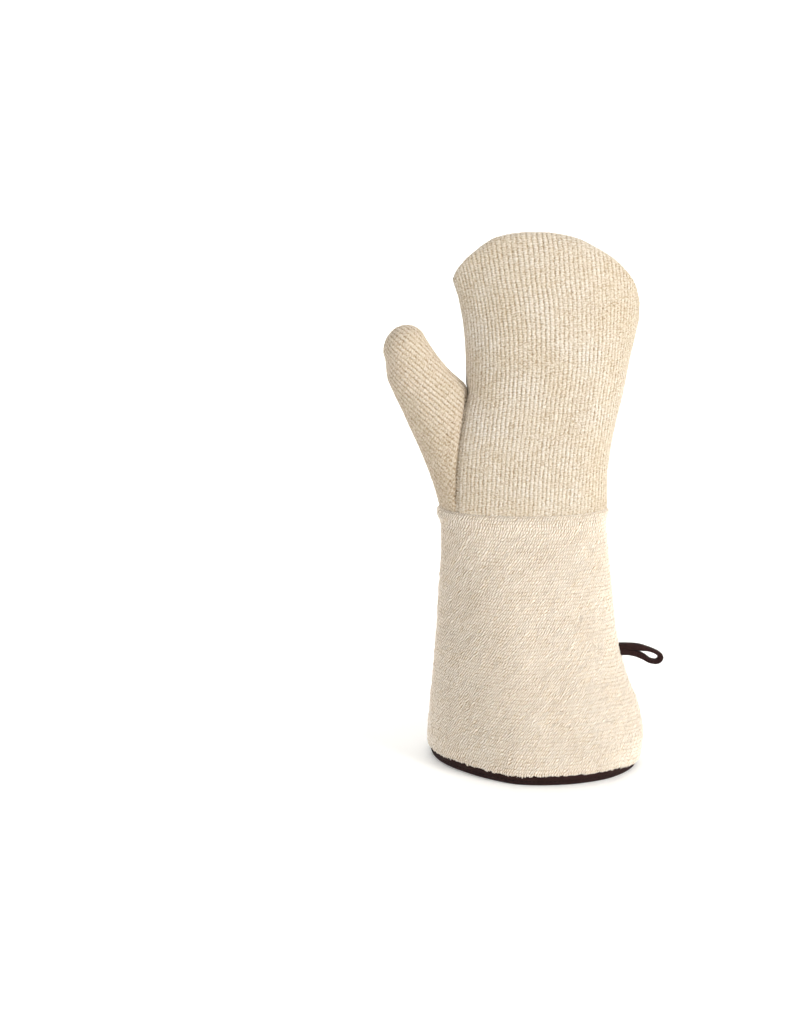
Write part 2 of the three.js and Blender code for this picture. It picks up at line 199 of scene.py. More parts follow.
def outward(grid):
    """Unit normals of a grid: the way along a row crossed with the way up."""
    normal = np.cross(np.gradient(grid, axis=1), np.gradient(grid, axis=0))
    return normal / np.maximum(np.linalg.norm(normal, axis=-1, keepdims=True), 1e-9)


def run_length(grid, axis):
    """Distance walked over the surface from the grid's first row or column."""
    steps = np.linalg.norm(np.diff(grid, axis=axis), axis=-1)
    start = np.zeros_like(np.take(steps, [0], axis=axis))
    return np.concatenate([start, np.cumsum(steps, axis=axis)], axis=axis)


def evenly(walked_at, low, high, count, samples=1500):
    """Values from low to high that share out evenly the distance walked."""
    fine = np.linspace(low, high, samples)
    walked = walked_at(fine)
    return np.interp(np.linspace(0, walked[-1], count), walked, fine)


def mix(a, b, share):
    """A straight blend from a to b."""
    return a + (b - a) * share


def bell(distance, reach):
    """1 at no distance, falling like a bell: 0.37 is left at the reach."""
    return np.exp(-((distance / reach) ** 2))


def ramp(value, start, end):
    """0 up to the start, 1 from the end on, and a straight line between."""
    return np.clip((value - start) / (end - start), 0, 1)

# %% [markdown]
# ## The looped face of terry
# Terry shows ropes of small loops. Every rope is a round ridge, and along it
# the loops lean like the strands of a cord. Real loops differ in size and the
# ropes wander a little. Modelling each loop as a mesh of its own would take
# millions of faces, so one height formula raises the whole grid.

# %% Height of the loops


def scatter(i, j, seed):
    """A repeatable number from 0 to 1 for each pair of whole numbers."""
    h = np.sin(i * 127.1 + j * 311.7 + seed * 74.7) * 43758.5453
    return h - np.floor(h)


def drift(x, y, seed):
    """Smooth noise from -1 to 1, one swing for each whole step of x and y."""
    i, j = np.floor(x), np.floor(y)
    s, t = x - i, y - j
    s, t = s * s * (3 - 2 * s), t * t * (3 - 2 * t)
    low = mix(scatter(i, j, seed), scatter(i + 1, j, seed), s)
    high = mix(scatter(i, j + 1, seed), scatter(i + 1, j + 1, seed), s)
    return 2 * mix(low, high, t) - 1


def drifts(x, y, layers, seed=0):
    """Sum of layers of drift. A layer is how high it is, the sizes of its
    swings in x and in y, and its own part of the seed."""
    return sum(high * drift(x / wide, y / tall, seed + own) for high, wide, tall, own in layers)


# Each cloth's ropes: width of one and spacing of its loops in mm. In loops:
# how far they lean across the rope, how far each rope is set off from the
# last, and up to how much more by chance. Loops 2 mm apart are hardly three
# pixels of the picture. They are drawn at their true size, and the finer
# yarns within a loop are left to the material.
HAND_ROPES = {"rope": 3.4, "loop": 1.9, "lean": -0.5, "step": 0.0, "apart": 1.0}
CUFF_ROPES = {"rope": 3.0, "loop": 2.05, "lean": -0.7, "step": -1.15, "apart": 0.3}
# How much of the height is ropes, how much of it loops, and what part of the
# loops the grid carries. The hand's grid has three or four points to a loop
# and can't carry them sharply, so there the material does the rest.
HAND_SHARES, CUFF_SHARES = (0.56, 0.26, 0.6), (0.6, 0.92, 1.0)
# A power under 1 flattens the ropes. A loop has a least size and a spread.
ROPE_POWER, LOOP_LEAST, LOOP_SPREAD = 0.6, 0.5, 0.75
# Ropes wander by mm, in layers of drift. The loops' spacing varies by a share
# of a loop.
WANDER = [(0.3, 11.0, 13.0, 0), (0.25, 2.9, 2.3, 7)]
UNEVEN_LOOPS, UNEVEN_EVERY = 0.4, 3.9


def loop_places(across, along, rope, loop, lean, step, apart, seed):
    """Where a point lies on the cloth, counted in ropes across and in loops
    along. The ropes wander a little. The loops lean as they cross the rope,
    each rope is set off from the last by one step and by chance up to apart,
    and their spacing varies."""
    ropes = (across + drifts(across, along, WANDER, seed)) / rope
    i = np.floor(ropes)
    loops = along / loop + lean * (ropes - i) + step * i + apart * scatter(i, 0.0, seed)
    return ropes, loops + UNEVEN_LOOPS * drift(along / UNEVEN_EVERY, i, seed + 3)


def loop_height(ropes, loops, ridge_share, strand_share, seed):
    """Height from 0 in a gap to about 1 on a loop: a flattened half sine wave
    over each rope, times one along the rope for each loop. Loops differ."""
    i, j = np.floor(ropes), np.floor(loops)
    ridge = np.sin(np.pi * (ropes - i)) ** ROPE_POWER
    size = LOOP_LEAST + LOOP_SPREAD * scatter(i, j, seed + 1)
    strand = np.sin(np.pi * (loops - j)) * size
    return mix(1, ridge, ridge_share) * mix(1, strand, strand_share)


print("hand ropes, mm:", HAND_ROPES["rope"], "cuff ropes, mm:", CUFF_ROPES["rope"])

# %% [markdown]
# ## Hand pocket: the form
# The hand is one folded piece. Its left edge is the fold, which the thumb is
# sewn into, its right edge and its curved top are sewn. A patch blended from
# those edges gives each point of the face, and the depth table swells it.

# %% Hand tables and surface
SEAM_Z = 213.5
WALL = 5.0
HAND_FULLNESS = 2.3
# height, x
HAND_LEFT = [
    (213.5, -60.5), (230, -61.8), (246, -61.6), (262, -60), (277, -57),
    (291, -52.4), (301, -48.4), (309.5, -45.8), (331, -46.6), (354.5, -48.4),
    (377.8, -52.4), (387, -55.2), (394.5, -57.9),
]
HAND_RIGHT = [
    (213.5, 66), (222, 65.3), (237, 64.9), (252, 65.9), (283.4, 71),
    (307.3, 75.4), (331, 79.8), (350, 83.9), (364, 86.6), (376, 87),
]
# share across from -1 to 1, x, height
HAND_TOP = [
    (-1, -57.9, 394.5), (-0.95, -56.2, 399.5), (-0.88, -50.9, 406.8), (-0.75, -41.6, 415.8),
    (-0.5, -23.8, 426.9), (-0.2, -3, 430.5), (0, 10, 430.6), (0.3, 33.4, 426.9),
    (0.5, 49.6, 420.1), (0.7, 64.5, 411.2), (0.85, 76, 400.9), (0.94, 83.2, 390),
    (1, 87, 376),
]
# share up, half depth outside, half depth inside
HAND_DEPTH = [
    (0, 30, 25), (0.2, 32, 27), (0.45, 32.5, 27.5), (0.62, 30.5, 25.5),
    (0.76, 26, 21), (0.86, 20.5, 15.5), (0.93, 14.5, 9.5), (0.97, 10, 5.2),
    (0.99, 6.2, 3), (1, 0, 0),
]
(hand_left,), (hand_right,) = table_lines(HAND_LEFT), table_lines(HAND_RIGHT)
hand_top_x, hand_top_z = table_lines(HAND_TOP)
depth_outside, depth_inside = table_lines(HAND_DEPTH)
(LEFT_END_Z, LEFT_END_X), (RIGHT_END_Z, RIGHT_END_X) = HAND_LEFT[-1], HAND_RIGHT[-1]
# Under the top the lining lies this many times its inset lower, and by the
# second share less towards the top's ends
TOP_INSET, TOP_INSET_BEND = 1.5, 0.5


def section(angle, fullness):
    """A rounded outline: u runs -1 to 1 over the front and back again behind,
    and the side is -1 at the front and 1 at the back."""
    sine = np.sin(angle)
    return -np.cos(angle), -np.sign(sine) * np.abs(sine) ** (2 / fullness)


def hand_face(u, v, inset):
    """Patch from four edges: lines across, plus lines up, less the flat one."""
    s = (u + 1) / 2
    left_z, right_z = mix(SEAM_Z, LEFT_END_Z, v), mix(SEAM_Z, RIGHT_END_Z, v)
    low_left, low_right = hand_left(SEAM_Z), hand_right(SEAM_Z)
    flat = mix(mix(low_left, LEFT_END_X, v), mix(low_right, RIGHT_END_X, v), s)
    x = mix(hand_left(left_z), hand_right(right_z), s)
    x = x + mix(mix(low_left, low_right, s), hand_top_x(u), v) - flat
    z = mix(SEAM_Z, hand_top_z(u), v)
    return x - inset * u, z - TOP_INSET * inset * v * (1 - TOP_INSET_BEND * u * u)


def hand_grid(angles, heights, inset, depth):
    """Grid of the hand's wall: the patch, swollen by the depth there."""
    v, angle = np.meshgrid(heights, angles, indexing="ij")
    u, side = section(angle, HAND_FULLNESS)
    x, z = hand_face(u, v, inset)
    return np.stack([x, side * depth(v), z], -1)


def even_heights(count, inset, depth):
    """Shares up the middle of the hand that give rows of even length."""
    middle = [math.pi / 2]
    return evenly(lambda v: run_length(hand_grid(middle, v, inset, depth), 0)[:, 0], 0, 1, count)


print("hand from z", SEAM_Z, "to", hand_top_z(0.0), "mm")

# %% [markdown]
# ## Thumb pocket: the form
# The thumb is a tapered tube that leaves the hand's fold. Its sections fan
# round the crotch: each is an ellipse between a point on the outer edge and
# one on the inner edge. A half ball closes the tip.

# %% Thumb table and surface
# outer x, outer z, inner x, inner z, half depth, middle y
THUMB_SECTIONS = np.array([
    (-66.2, 213.5, -20, 213.5, 17, 0),
    (-70.2, 228, -26, 236, 17.2, -0.3),
    (-77, 247, -32, 263, 17.4, -0.8),
    (-86.4, 270, -37, 290, 18.4, -1.6),
    (-94.4, 288.5, -45, 308.5, 19.4, -2.6),
    (-102.2, 305, -58.6, 322.3, 19.2, -3.8),
    (-108.1, 320, -70, 336, 18.2, -5.2),
    (-109.2, 333.5, -79.4, 350.6, 16.9, -6.6),
])
# Where the thumb points, and how far the tip reaches on and leans forward
THUMB_AXIS = np.array([-0.4, 0.0, 0.917])
THUMB_REACH, THUMB_TIP_LEAN = 16.0, -1.4
LAST_SECTION, THUMB_END = 7, 8
thumb_lines = [smooth_line(np.arange(THUMB_END), column) for column in THUMB_SECTIONS.T]


def tip_turn(stations):
    """How far round the half ball a station lies, as an angle."""
    return ramp(stations, LAST_SECTION, THUMB_END) * math.pi / 2


def thumb_grid(angles, stations, inset, bottom=None):
    """Stations 0 to 7 pass through the sections, 7 to 8 round off the tip."""
    station, angle = np.meshgrid(stations, angles, indexing="ij")
    k = np.minimum(station, LAST_SECTION)
    outer_x, outer_z, inner_x, inner_z, half, y = (line(k) for line in thumb_lines)
    outer = np.stack([outer_x, y, outer_z], -1)
    inner = np.stack([inner_x, y, inner_z], -1)
    across = (inner - outer) / 2
    length = np.linalg.norm(across, axis=-1, keepdims=True)
    across = across * (1 - inset / length)
    turn = tip_turn(station)
    shrink, rise = np.cos(turn)[..., None], np.sin(turn)[..., None]
    middle = (outer + inner) / 2 + (THUMB_REACH - inset) * rise * THUMB_AXIS
    middle[..., 1] += THUMB_TIP_LEAN * rise[..., 0]
    grid = middle - across * shrink * np.cos(angle)[..., None]
    grid[..., 1] -= (half - inset) * shrink[..., 0] * np.sin(angle)
    if bottom is not None:
        grid[0, :, 2] = bottom
    return grid


def fan(ring, tip):
    """Triangles from each step of a closed ring of points to one tip."""
    return np.stack([ring, np.roll(ring, -1), np.full(len(ring), tip)], -1)


def closed_form(grid):
    """Points and faces of a tube. A fan of triangles closes its foot, and
    another its top, whose last row has shrunk to one point."""
    rows, columns, _ = grid.shape
    tip = (rows - 1) * columns
    points = np.concatenate([grid.reshape(-1, 3)[:tip + 1], grid[:1].mean(axis=1)])
    ring = np.arange(columns)
    foot_fan = fan(ring, tip + 1)[:, [1, 0, 2]]
    top_fan = fan(ring + tip - columns, tip)
    return points, [grid_faces(rows - 1, columns, closed=True), foot_fan, top_fan]


def crowned(grid):
    """The grid with one row more, all of it in the middle of the last row."""
    crown = np.broadcast_to(grid[-1:].mean(axis=1, keepdims=True), grid[-1:].shape)
    return np.concatenate([grid, crown])


print("thumb tip at z", (THUMB_SECTIONS[-1, [1, 3]].mean() + THUMB_REACH * THUMB_AXIS[2]).round(1))

# %% [markdown]
# ## Where the thumb meets the hand
# The two forms cross in a line that is the thumb's root seam. To find it, the
# hand's depth is wanted under each point of the thumb. The patch can't be
# turned round directly, so a guess of its two shares is corrected a few times.

# %% Find the root seam
# For the first guess, and how often it is mended
HAND_HEIGHT, HAND_LEFT_X, HAND_WIDTH, HALF_WIDTH = 212.0, -55.0, 130.0, 66.0
GUESSES = 12
# How far the root seam reaches to its sides, and up past the crotch, in mm
ROOT_REACH, CROTCH_FADE = 1.8, 1.5


def hand_depth_at(x, z):
    """Half depth of the hand at x and z, zero outside its outline. Each guess
    is mended by how far its point lies from the wanted one."""
    v = (z - SEAM_Z) / HAND_HEIGHT
    u = 2 * (x - HAND_LEFT_X) / HAND_WIDTH - 1
    for _ in range(GUESSES):
        u, v = np.clip(u, -1, 1), np.clip(v, 0, 1)
        at_x, at_z = hand_face(u, v, 0.0)
        v = v + (z - at_z) / (hand_top_z(u) - SEAM_Z)
        u = u + (x - at_x) / HALF_WIDTH
    inside = np.clip(1 - u * u, 0, 1) ** (1 / HAND_FULLNESS)
    depth = depth_outside(np.clip(v, 0, 1)) * inside
    return np.where((np.abs(u) < 1) & (v < 1), depth, 0.0)


def root_line(front):
    """Height and x of the crossing, taken section by section where the
    thumb's surface first stands out of the hand's."""
    half_turn = np.linspace(0.02, math.pi - 0.02, 300)
    angles = half_turn if front else -half_turn
    grid = thumb_grid(angles, np.linspace(0, 4.4, 120), 0.0)
    buried = np.abs(grid[..., 1]) < hand_depth_at(grid[..., 0], grid[..., 2])
    first = np.argmax(buried, axis=1)
    crossed = np.nonzero(buried.any(axis=1))[0]
    points = grid[crossed, first[crossed]]
    order = np.argsort(points[:, 2])
    return points[order, 2], points[order, 0]


ROOT_FRONT, ROOT_BACK = root_line(True), root_line(False)
CROTCH_Z = min(ROOT_FRONT[0].max(), ROOT_BACK[0].max())
print("root seam from x", ROOT_FRONT[1][0].round(1), "up to the crotch at z", CROTCH_Z.round(1))


def near_root(points):
    """1 on the root seam, fading to 0 about three millimetres from it."""
    x, y, z = np.moveaxis(points, -1, 0)
    line = np.where(y < 0, np.interp(z, *ROOT_FRONT), np.interp(z, *ROOT_BACK))
    return bell(x - line, ROOT_REACH) / (1 + np.exp((z - CROTCH_Z) / CROTCH_FADE))

# %% [markdown]
# ## Sewing the hand's two faces
# Front and back share the fold and the seam, so they are two shells of one
# cloth: each stays light enough to carry real loops. The ropes run upwards
# from the wrist. Seams pull the cloth in, so the surface sinks along the
# little finger side, over the top, at the wrist and at the thumb's root.

# %% Dressing a surface with loops
# Columns past each side while slopes are worked out
PADDING = 2
# The wrist edges get one more row close by. Without it, smooth shading would
# round the edge over a whole row and draw a pale line along the seam.
EDGE_ROW = 0.0004
# Height of the loops in mm, and the share of it that lies below the CAD wall
PILE_MM, PILE_MEAN = 1.2, 0.6
# How brushed the cloth is on the whole, and how much flatter that makes ropes
BRUSHED_MEAN, BRUSHED_FLAT = 0.3, 0.5
# Brushed patches, as shares, and swells of the cloth in mm
PATCHES = [(0.4, 16.0, 24.0, 8), (0.35, 5.0, 6.0, 9)]
SWELLS = [(0.4, 26.0, 32.0, 5), (0.14, 7.0, 8.0, 6)]
# A full pull sinks the cloth by mm, flattens its loops, and darkens their pile
# mark as painted shade in the seam's groove
PULL_DEPTH, PULL_FLAT, PULL_PAINTED_SHADE = 1.5, 0.5, 0.3
# How strongly each seam pulls, as a share, and how far that reaches in mm
HAND_SEAM, THUMB_SEAM, CUFF_SEAM = (0.8, 1.7), (0.3, 1.6), (0.6, 1.7)
HAND_WRIST_REACH, CUFF_WRIST_REACH = 1.6, 1.4
# Puckers at the wrist: how strong, and mm from one to the next
PUCKER, PUCKER_EVERY = 0.45, 3.0
# The thumb's root: plain share of the pull on each piece, share that comes
# and goes with the stitches, mm between them, mm over which that drifts
HAND_ROOT, THUMB_ROOT, ROOT_DIMPLE = 0.55, 0.8, 0.5
ROOT_STITCH, ROOT_STITCH_DRIFT = 3.2, 9.0
# Outline of the cuff's rim at the wrist: left end, right end, half depth
RIM_LEFT, RIM_RIGHT, RIM_HALF, RIM_FULLNESS = -66.6, 66.2, 31.0, 2.05
# How far the cloth may move in or out to meet it, and over what height
RIM_IN, RIM_OUT, RIM_REACH = -1.5, 3.5, 7.0


def padded_angles(angles):
    """The padding's columns past each side, so that slopes meet there."""
    before = angles[0] - (angles[1] - angles[0]) * np.arange(PADDING, 0, -1)
    after = angles[-1] + (angles[-1] - angles[-2]) * np.arange(1, PADDING + 1)
    return np.concatenate([before, angles, after])


def meet_rim(grid):
    """Brings the lowest few millimetres out to the cuff's rim. The rim's half
    depth at x is that of an oval, and the way there fades like a bell."""
    x, y, z = np.moveaxis(grid, -1, 0)
    u = (x - (RIM_LEFT + RIM_RIGHT) / 2) / ((RIM_RIGHT - RIM_LEFT) / 2)
    rim = RIM_HALF * np.clip(1 - u * u, 0, 1) ** (1 / RIM_FULLNESS)
    short = np.clip(rim - np.abs(y), RIM_IN, RIM_OUT)
    return np.stack([x, y + np.sign(y) * short * bell(z - SEAM_Z, RIM_REACH), z], -1)


def seam_pull(distance, strength, reach):
    """Pull or wear by a seam, from 0 to 1, at a distance from it."""
    return strength * bell(distance, reach)


def wrist_pull(grid, distance, reach):
    """Pull of the wrist seam, in puckers that both of its sides share."""
    puckers = np.clip(drift(grid[..., 0] / PUCKER_EVERY, 0.0, 4), 0, 1)
    return seam_pull(distance, PUCKER, reach) * puckers


def root_pull(grid, plain):
    """Pull of the thumb's root seam: a plain share, plus one for each stitch."""
    height = grid[..., 2]
    turn = 2 * np.pi * height / ROOT_STITCH + drift(height / ROOT_STITCH_DRIFT, 0.0, 8)
    return near_root(grid) * (plain + ROOT_DIMPLE * (0.5 + 0.5 * np.cos(turn)))


def dress(grid, across, along, cloth, shares, seed, sink, wear_and_shade):
    """Raises the loops along the normals and lowers what the seams pull in.
    The ropes are brushed flat in patches, and more where the cloth is worn;
    the same mark lets the material darken the cloth, partly as painted shade
    on the cuff's fold side, the thumb's root and the hand's right side.
    Returns the points, the places counted in ropes and loops, and the marks."""
    places = loop_places(across, along, **cloth, seed=seed)
    # This mark holds real wear, and the places where the material paints shade
    brushed_and_shade = np.clip(wear_and_shade + BRUSHED_MEAN + drifts(across, along, PATCHES, seed), 0, 1)
    ridge_share, strand_share, grid_part = shares
    ridge_share = ridge_share * (1 - BRUSHED_FLAT * brushed_and_shade)
    pile = loop_height(*places, ridge_share, grid_part * strand_share, seed)
    pull = np.clip(sink, 0, 1)
    swell = drifts(across, along, SWELLS, seed) * (1 - pull)
    lift = PILE_MM * (pile - PILE_MEAN) * (1 - PULL_FLAT * pull) + swell - PULL_DEPTH * sink
    # Painted shade: the pile mark is darker where a seam pulls the cloth in
    marks = np.stack([pile * (1 - PULL_PAINTED_SHADE * pull), brushed_and_shade], -1)
    return grid + outward(grid) * lift[..., None], np.stack(places, -1), marks


def lined_piece(name, dressed, lining):
    """A closed shell from a dressed face, without its padding, and a lining
    whose plain loops lie flat and are placed by its own millimetres."""
    raised, places, marks = (a[:, PADDING:-PADDING] for a in dressed)
    points, faces = cloth_shell(raised, lining)
    flat = lining.reshape(-1, 3)[:, [0, 2]] / [HAND_ROPES["rope"], HAND_ROPES["loop"]]
    places = np.concatenate([places.reshape(-1, 2), flat])
    marks = np.concatenate([marks.reshape(-1, 2), np.full_like(flat, PILE_MEAN)])
    return new_piece(name, points, faces, places, marks)


print("loops stand", PILE_MM, "mm high, and a seam pulls in up to", PULL_DEPTH, "mm")

# %% [markdown]
# ## How the ropes run over the hand
# The ropes don't copy the hand's outline. Three guide lines, read off the
# photograph's ribs, lead them: one by the thumb side, one in the middle and
# one by the little finger. A rope keeps its share of the way between them.

# %% Hand faces
# height, x of the left, middle and right guide line
ROPE_GUIDES = [
    (213.5, -52, 8, 66), (250, -51, 9.5, 68), (309.5, -46.5, 14.5, 76),
    (331, -46.6, 16, 79), (354.5, -48.4, 16, 81), (378, -52.4, 14.5, 81.5),
    (394.5, -57, 12.5, 80.5), (432, -65, 10, 76.5),
]
# On the cloth the outer guide lines lie this far from the middle one
GUIDE_REACH = 62.0
HAND_COLUMNS, HAND_ROWS = 236, 345
HAND_INNER_COLUMNS, HAND_INNER_ROWS = 64, 80
# The columns are shared out evenly at this share of the way up
KNUCKLES = 0.45
HAND_SEED, THUMB_SEED, CUFF_SEED = 11, 23, 41
# How worn it is past the middle (flattened ropes, and painted shade that
# darkens it), over which x, and near the wrist, over mm
HAND_RIGHT_WEAR_AND_SHADE, HAND_RIGHT_WEAR_AND_SHADE_X, HAND_WRIST_WORN = 0.3, (20, 60), (0.6, 7)
guide_left, guide_middle, guide_right = table_lines(ROPE_GUIDES)


def across_hand(grid, front):
    """Distance across the ropes: the share between the guide lines, plus what
    the surface is longer than flat where it curves round the sides."""
    x, z = grid[..., 0], grid[..., 2]
    middle = guide_middle(z)
    past = x - middle
    share = past / np.where(past < 0, middle - guide_left(z), guide_right(z) - middle)
    walked = run_length(grid, 1)
    centre = grid.shape[1] // 2
    longer = np.abs(walked - walked[:, [centre]]) - np.abs(x - x[:, [centre]])
    across = share * GUIDE_REACH + np.sign(past) * longer
    return across if front else -across


def hand_side(name, front):
    """One face of the hand from fold to seam, dressed and lined. It is worn
    a little towards the little finger, where painted shade also darkens it,
    and at the wrist."""
    girth_at = lambda a: run_length(hand_grid(a, [KNUCKLES], 0.0, depth_outside), 1)[0]
    angles = evenly(girth_at, 0, math.pi, HAND_COLUMNS)
    inner_angles = np.linspace(0, math.pi, HAND_INNER_COLUMNS)
    if not front:
        angles, inner_angles = 2 * math.pi - angles[::-1], inner_angles + math.pi
    heights = np.insert(even_heights(HAND_ROWS, 0.0, depth_outside), 1, EDGE_ROW)
    grid = meet_rim(hand_grid(padded_angles(angles), heights, 0.0, depth_outside))
    along, walked = run_length(grid, 0), run_length(grid, 1)
    to_side = np.abs(walked - walked[:, [-PADDING - 1 if front else PADDING]])
    seam = seam_pull(np.minimum(to_side, along[-1] - along), *HAND_SEAM)
    wrist = wrist_pull(grid, along, HAND_WRIST_REACH)
    sink = np.maximum.reduce([seam, wrist, root_pull(grid, HAND_ROOT)])
    wear_and_shade = HAND_RIGHT_WEAR_AND_SHADE * ramp(grid[..., 0], *HAND_RIGHT_WEAR_AND_SHADE_X) + seam_pull(along, *HAND_WRIST_WORN)
    laid = across_hand(grid, front), along
    dressed = dress(grid, *laid, HAND_ROPES, HAND_SHARES, HAND_SEED, sink, wear_and_shade)
    inner_heights = even_heights(HAND_INNER_ROWS, WALL, depth_inside)
    return lined_piece(name, dressed, hand_grid(inner_angles, inner_heights, WALL, depth_inside))


hand_front = hand_side("hand_front", True)
hand_back = hand_side("hand_back", False)
print("hand faces:", triangles(hand_front), "and", triangles(hand_back), "triangles")

# %% [markdown]
# ## Thumb pocket
# The thumb's cloth was cut with its ropes slanting down to the right, some
# forty degrees, nearly along the inner edge. The tube is made whole, hollowed
# with a thinner copy of itself, and then trimmed with the hand's own form, as
# cloth is trimmed to a seam. Blender's Manifold solver does such cuts fast.

# %% Thumb piece
THUMB_COLUMNS, THUMB_ROWS = 216, 262
THUMB_ROPE_SLOPE = math.radians(40.5)
# How worn the thumb is at its root (flattened ropes, and painted shade that
# darkens it), and over which heights
THUMB_ROOT_WEAR_AND_SHADE, THUMB_ROOT_WEAR_AND_SHADE_Z = 0.7, (305, 245)
# The rows are shared out evenly along the line at this angle
THUMB_ROWS_ANGLE = 0.9
# The trimming forms reach below the wrist, and the hand's own lies this far
# inside the hand, so that the thumb's root is sunk into it
BELOW_WRIST, ROOT_SUNK = 4.0, 0.4


def cut_away(piece, *forms):
    """Takes each closed form out of the piece."""
    for form in forms:
        cut = piece.modifiers.new("cut", "BOOLEAN")
        cut.operation, cut.object, cut.solver = "DIFFERENCE", form, "MANIFOLD"
        graph = bpy.context.evaluated_depsgraph_get()
        done = bpy.data.meshes.new_from_object(piece.evaluated_get(graph))
        piece.modifiers.clear()
        old, piece.data = piece.data, done
        bpy.data.meshes.remove(old)
    piece.data.name = piece.name
    return piece


def thumb_stations(count):
    """Stations that give rows of even length along the outer edge."""
    length_at = lambda s: run_length(thumb_grid([THUMB_ROWS_ANGLE], s, 0.0), 0)[:, 0]
    return evenly(length_at, 0, THUMB_END, count, samples=1200)


def wrap(values):
    """The same columns with some of the far side's added at each end, so that
    slopes run on across the place where a ring closes."""
    return np.concatenate([values[:, -PADDING:], values, values[:, :PADDING]], axis=1)


def thumb_laid_flat(grid, stations, angles):
    """The thumb's cloth laid flat in the X-Z plane. Each point is pushed out
    along its ring by what the arc is longer than the flat, and near the tip
    also along the thumb. Returns places across and along its ropes, and the
    distance to the outer edge."""
    k = np.minimum(stations, LAST_SECTION)
    outer_x, outer_z, inner_x, inner_z = (line(k) for line in thumb_lines[:4])
    ring_way = np.stack([inner_x - outer_x, inner_z - outer_z], -1)
    width = np.linalg.norm(ring_way, axis=-1, keepdims=True)
    ring_way /= width
    turn = tip_turn(stations)[:, None]
    walked = run_length(np.concatenate([grid, grid[:, :1]], axis=1), 1)
    girth = walked[:, -1:]
    to_edge = np.minimum(walked[:, :-1], girth - walked[:, :-1])
    flat = -np.cos(angles) * width / 2 * np.cos(turn)
    longer = to_edge - girth / 4 - flat
    over_tip = THUMB_REACH * (turn - np.sin(turn))
    laid = grid[..., [0, 2]] + longer[..., None] * ring_way[:, None]
    laid = laid + over_tip[..., None] * THUMB_AXIS[[0, 2]]
    along_way = np.array([-math.cos(THUMB_ROPE_SLOPE), math.sin(THUMB_ROPE_SLOPE)])
    return laid @ [along_way[1], -along_way[0]], laid @ along_way, to_edge


def thumb_piece():
    """The thumb's dressed tube, still solid. It is worn towards its root, where
    painted shade also darkens it.
    """
    ring = np.linspace(0, 2 * math.pi, THUMB_COLUMNS, endpoint=False)
    stations = thumb_stations(THUMB_ROWS)
    grid = meet_rim(thumb_grid(ring, stations, 0.0, bottom=SEAM_Z))
    across, along, to_edge = thumb_laid_flat(grid, stations, ring)
    sink = np.maximum(seam_pull(to_edge, *THUMB_SEAM), root_pull(grid, THUMB_ROOT))
    wear_and_shade = THUMB_ROOT_WEAR_AND_SHADE * ramp(grid[..., 2], *THUMB_ROOT_WEAR_AND_SHADE_Z)
    *laid, sink, wear_and_shade = (wrap(values) for values in (grid, across, along, sink, wear_and_shade))
    dressed = dress(*laid, HAND_ROPES, HAND_SHARES, THUMB_SEED, sink, wear_and_shade)
    raised, places, marks = (a[:, PADDING:-PADDING] for a in dressed)
    raised[-1] = grid[-1]
    points, faces = closed_form(raised)
    places, marks = (a.reshape(-1, 2)[:len(points)] for a in (places, marks))
    return new_piece("thumb", points, faces, places, marks)


def hand_body():
    """The hand as one plain closed form, for trimming the thumb to it."""
    ring = np.linspace(0, 2 * math.pi, 160, endpoint=False)
    heights = np.append(even_heights(110, 0.0, depth_outside)[:-1], 0.998)
    grid = hand_grid(ring, heights, ROOT_SUNK, depth_outside)
    grid[0, :, 2] = SEAM_Z - BELOW_WRIST
    return new_piece("hand_body", *closed_form(crowned(grid)))


def thumb_room():
    """The space inside the thumb: the same tube, thinner by the wall."""
    ring = np.linspace(0, 2 * math.pi, 72, endpoint=False)
    grid = thumb_grid(ring, thumb_stations(60), WALL, bottom=SEAM_Z - BELOW_WRIST)
    return new_piece("thumb_room", *closed_form(grid))


space, body = thumb_room(), hand_body()
thumb = cut_away(thumb_piece(), space, body)
for side in (hand_front, hand_back):
    cut_away(side, space)
for form in (space, body):
    bpy.data.objects.remove(form)
for piece in (thumb, hand_front, hand_back):
    print(piece.name, "after trimming:", triangles(piece), "triangles")

# %% [markdown]
# ## Gauntlet cuff
# The cuff is one folded piece as well, flared to the hem, with its fold on the
# left and its seam on the right, where the hanging loop is caught. Its ropes
# run round it, so the loops show as rows of slanted strands. The soft hollows
# and swells are those of the CAD part, each a bell shape on the face.

# %% Cuff tables and surface
# height, left, right, half depth, how far the left end is bent back
CUFF_SHAPE = [
    (0, -71.4, 95, 58, 19), (7.6, -73.3, 97.7, 59.4, 18.6),
    (16.4, -74.7, 99.6, 60, 18), (25.1, -74.8, 100, 59.8, 17),
    (33.7, -74.1, 98.9, 58.4, 15.8), (51, -72.6, 94.7, 54.8, 13.2),
    (68.2, -71.1, 87.6, 51.2, 10.8), (85.3, -70, 81.9, 47.8, 8.6),
    (102.3, -68.8, 77.8, 44.6, 6.8), (119.2, -67.9, 74.9, 41.6, 5.2),
    (152.8, -66.5, 70.8, 36.4, 2.6), (177.7, -65.2, 67.8, 33, 1),
    (197, -65.2, 65.6, 30.8, 0.2), (203, -65.9, 65.3, 30.7, 0),
    (207.5, -67.9, 66.2, 31, 0), (211.5, -68, 66.9, 31.1, 0),
    (213.5, -66.6, 66.2, 31, 0),
]
CUFF_FULLNESS = 2.05
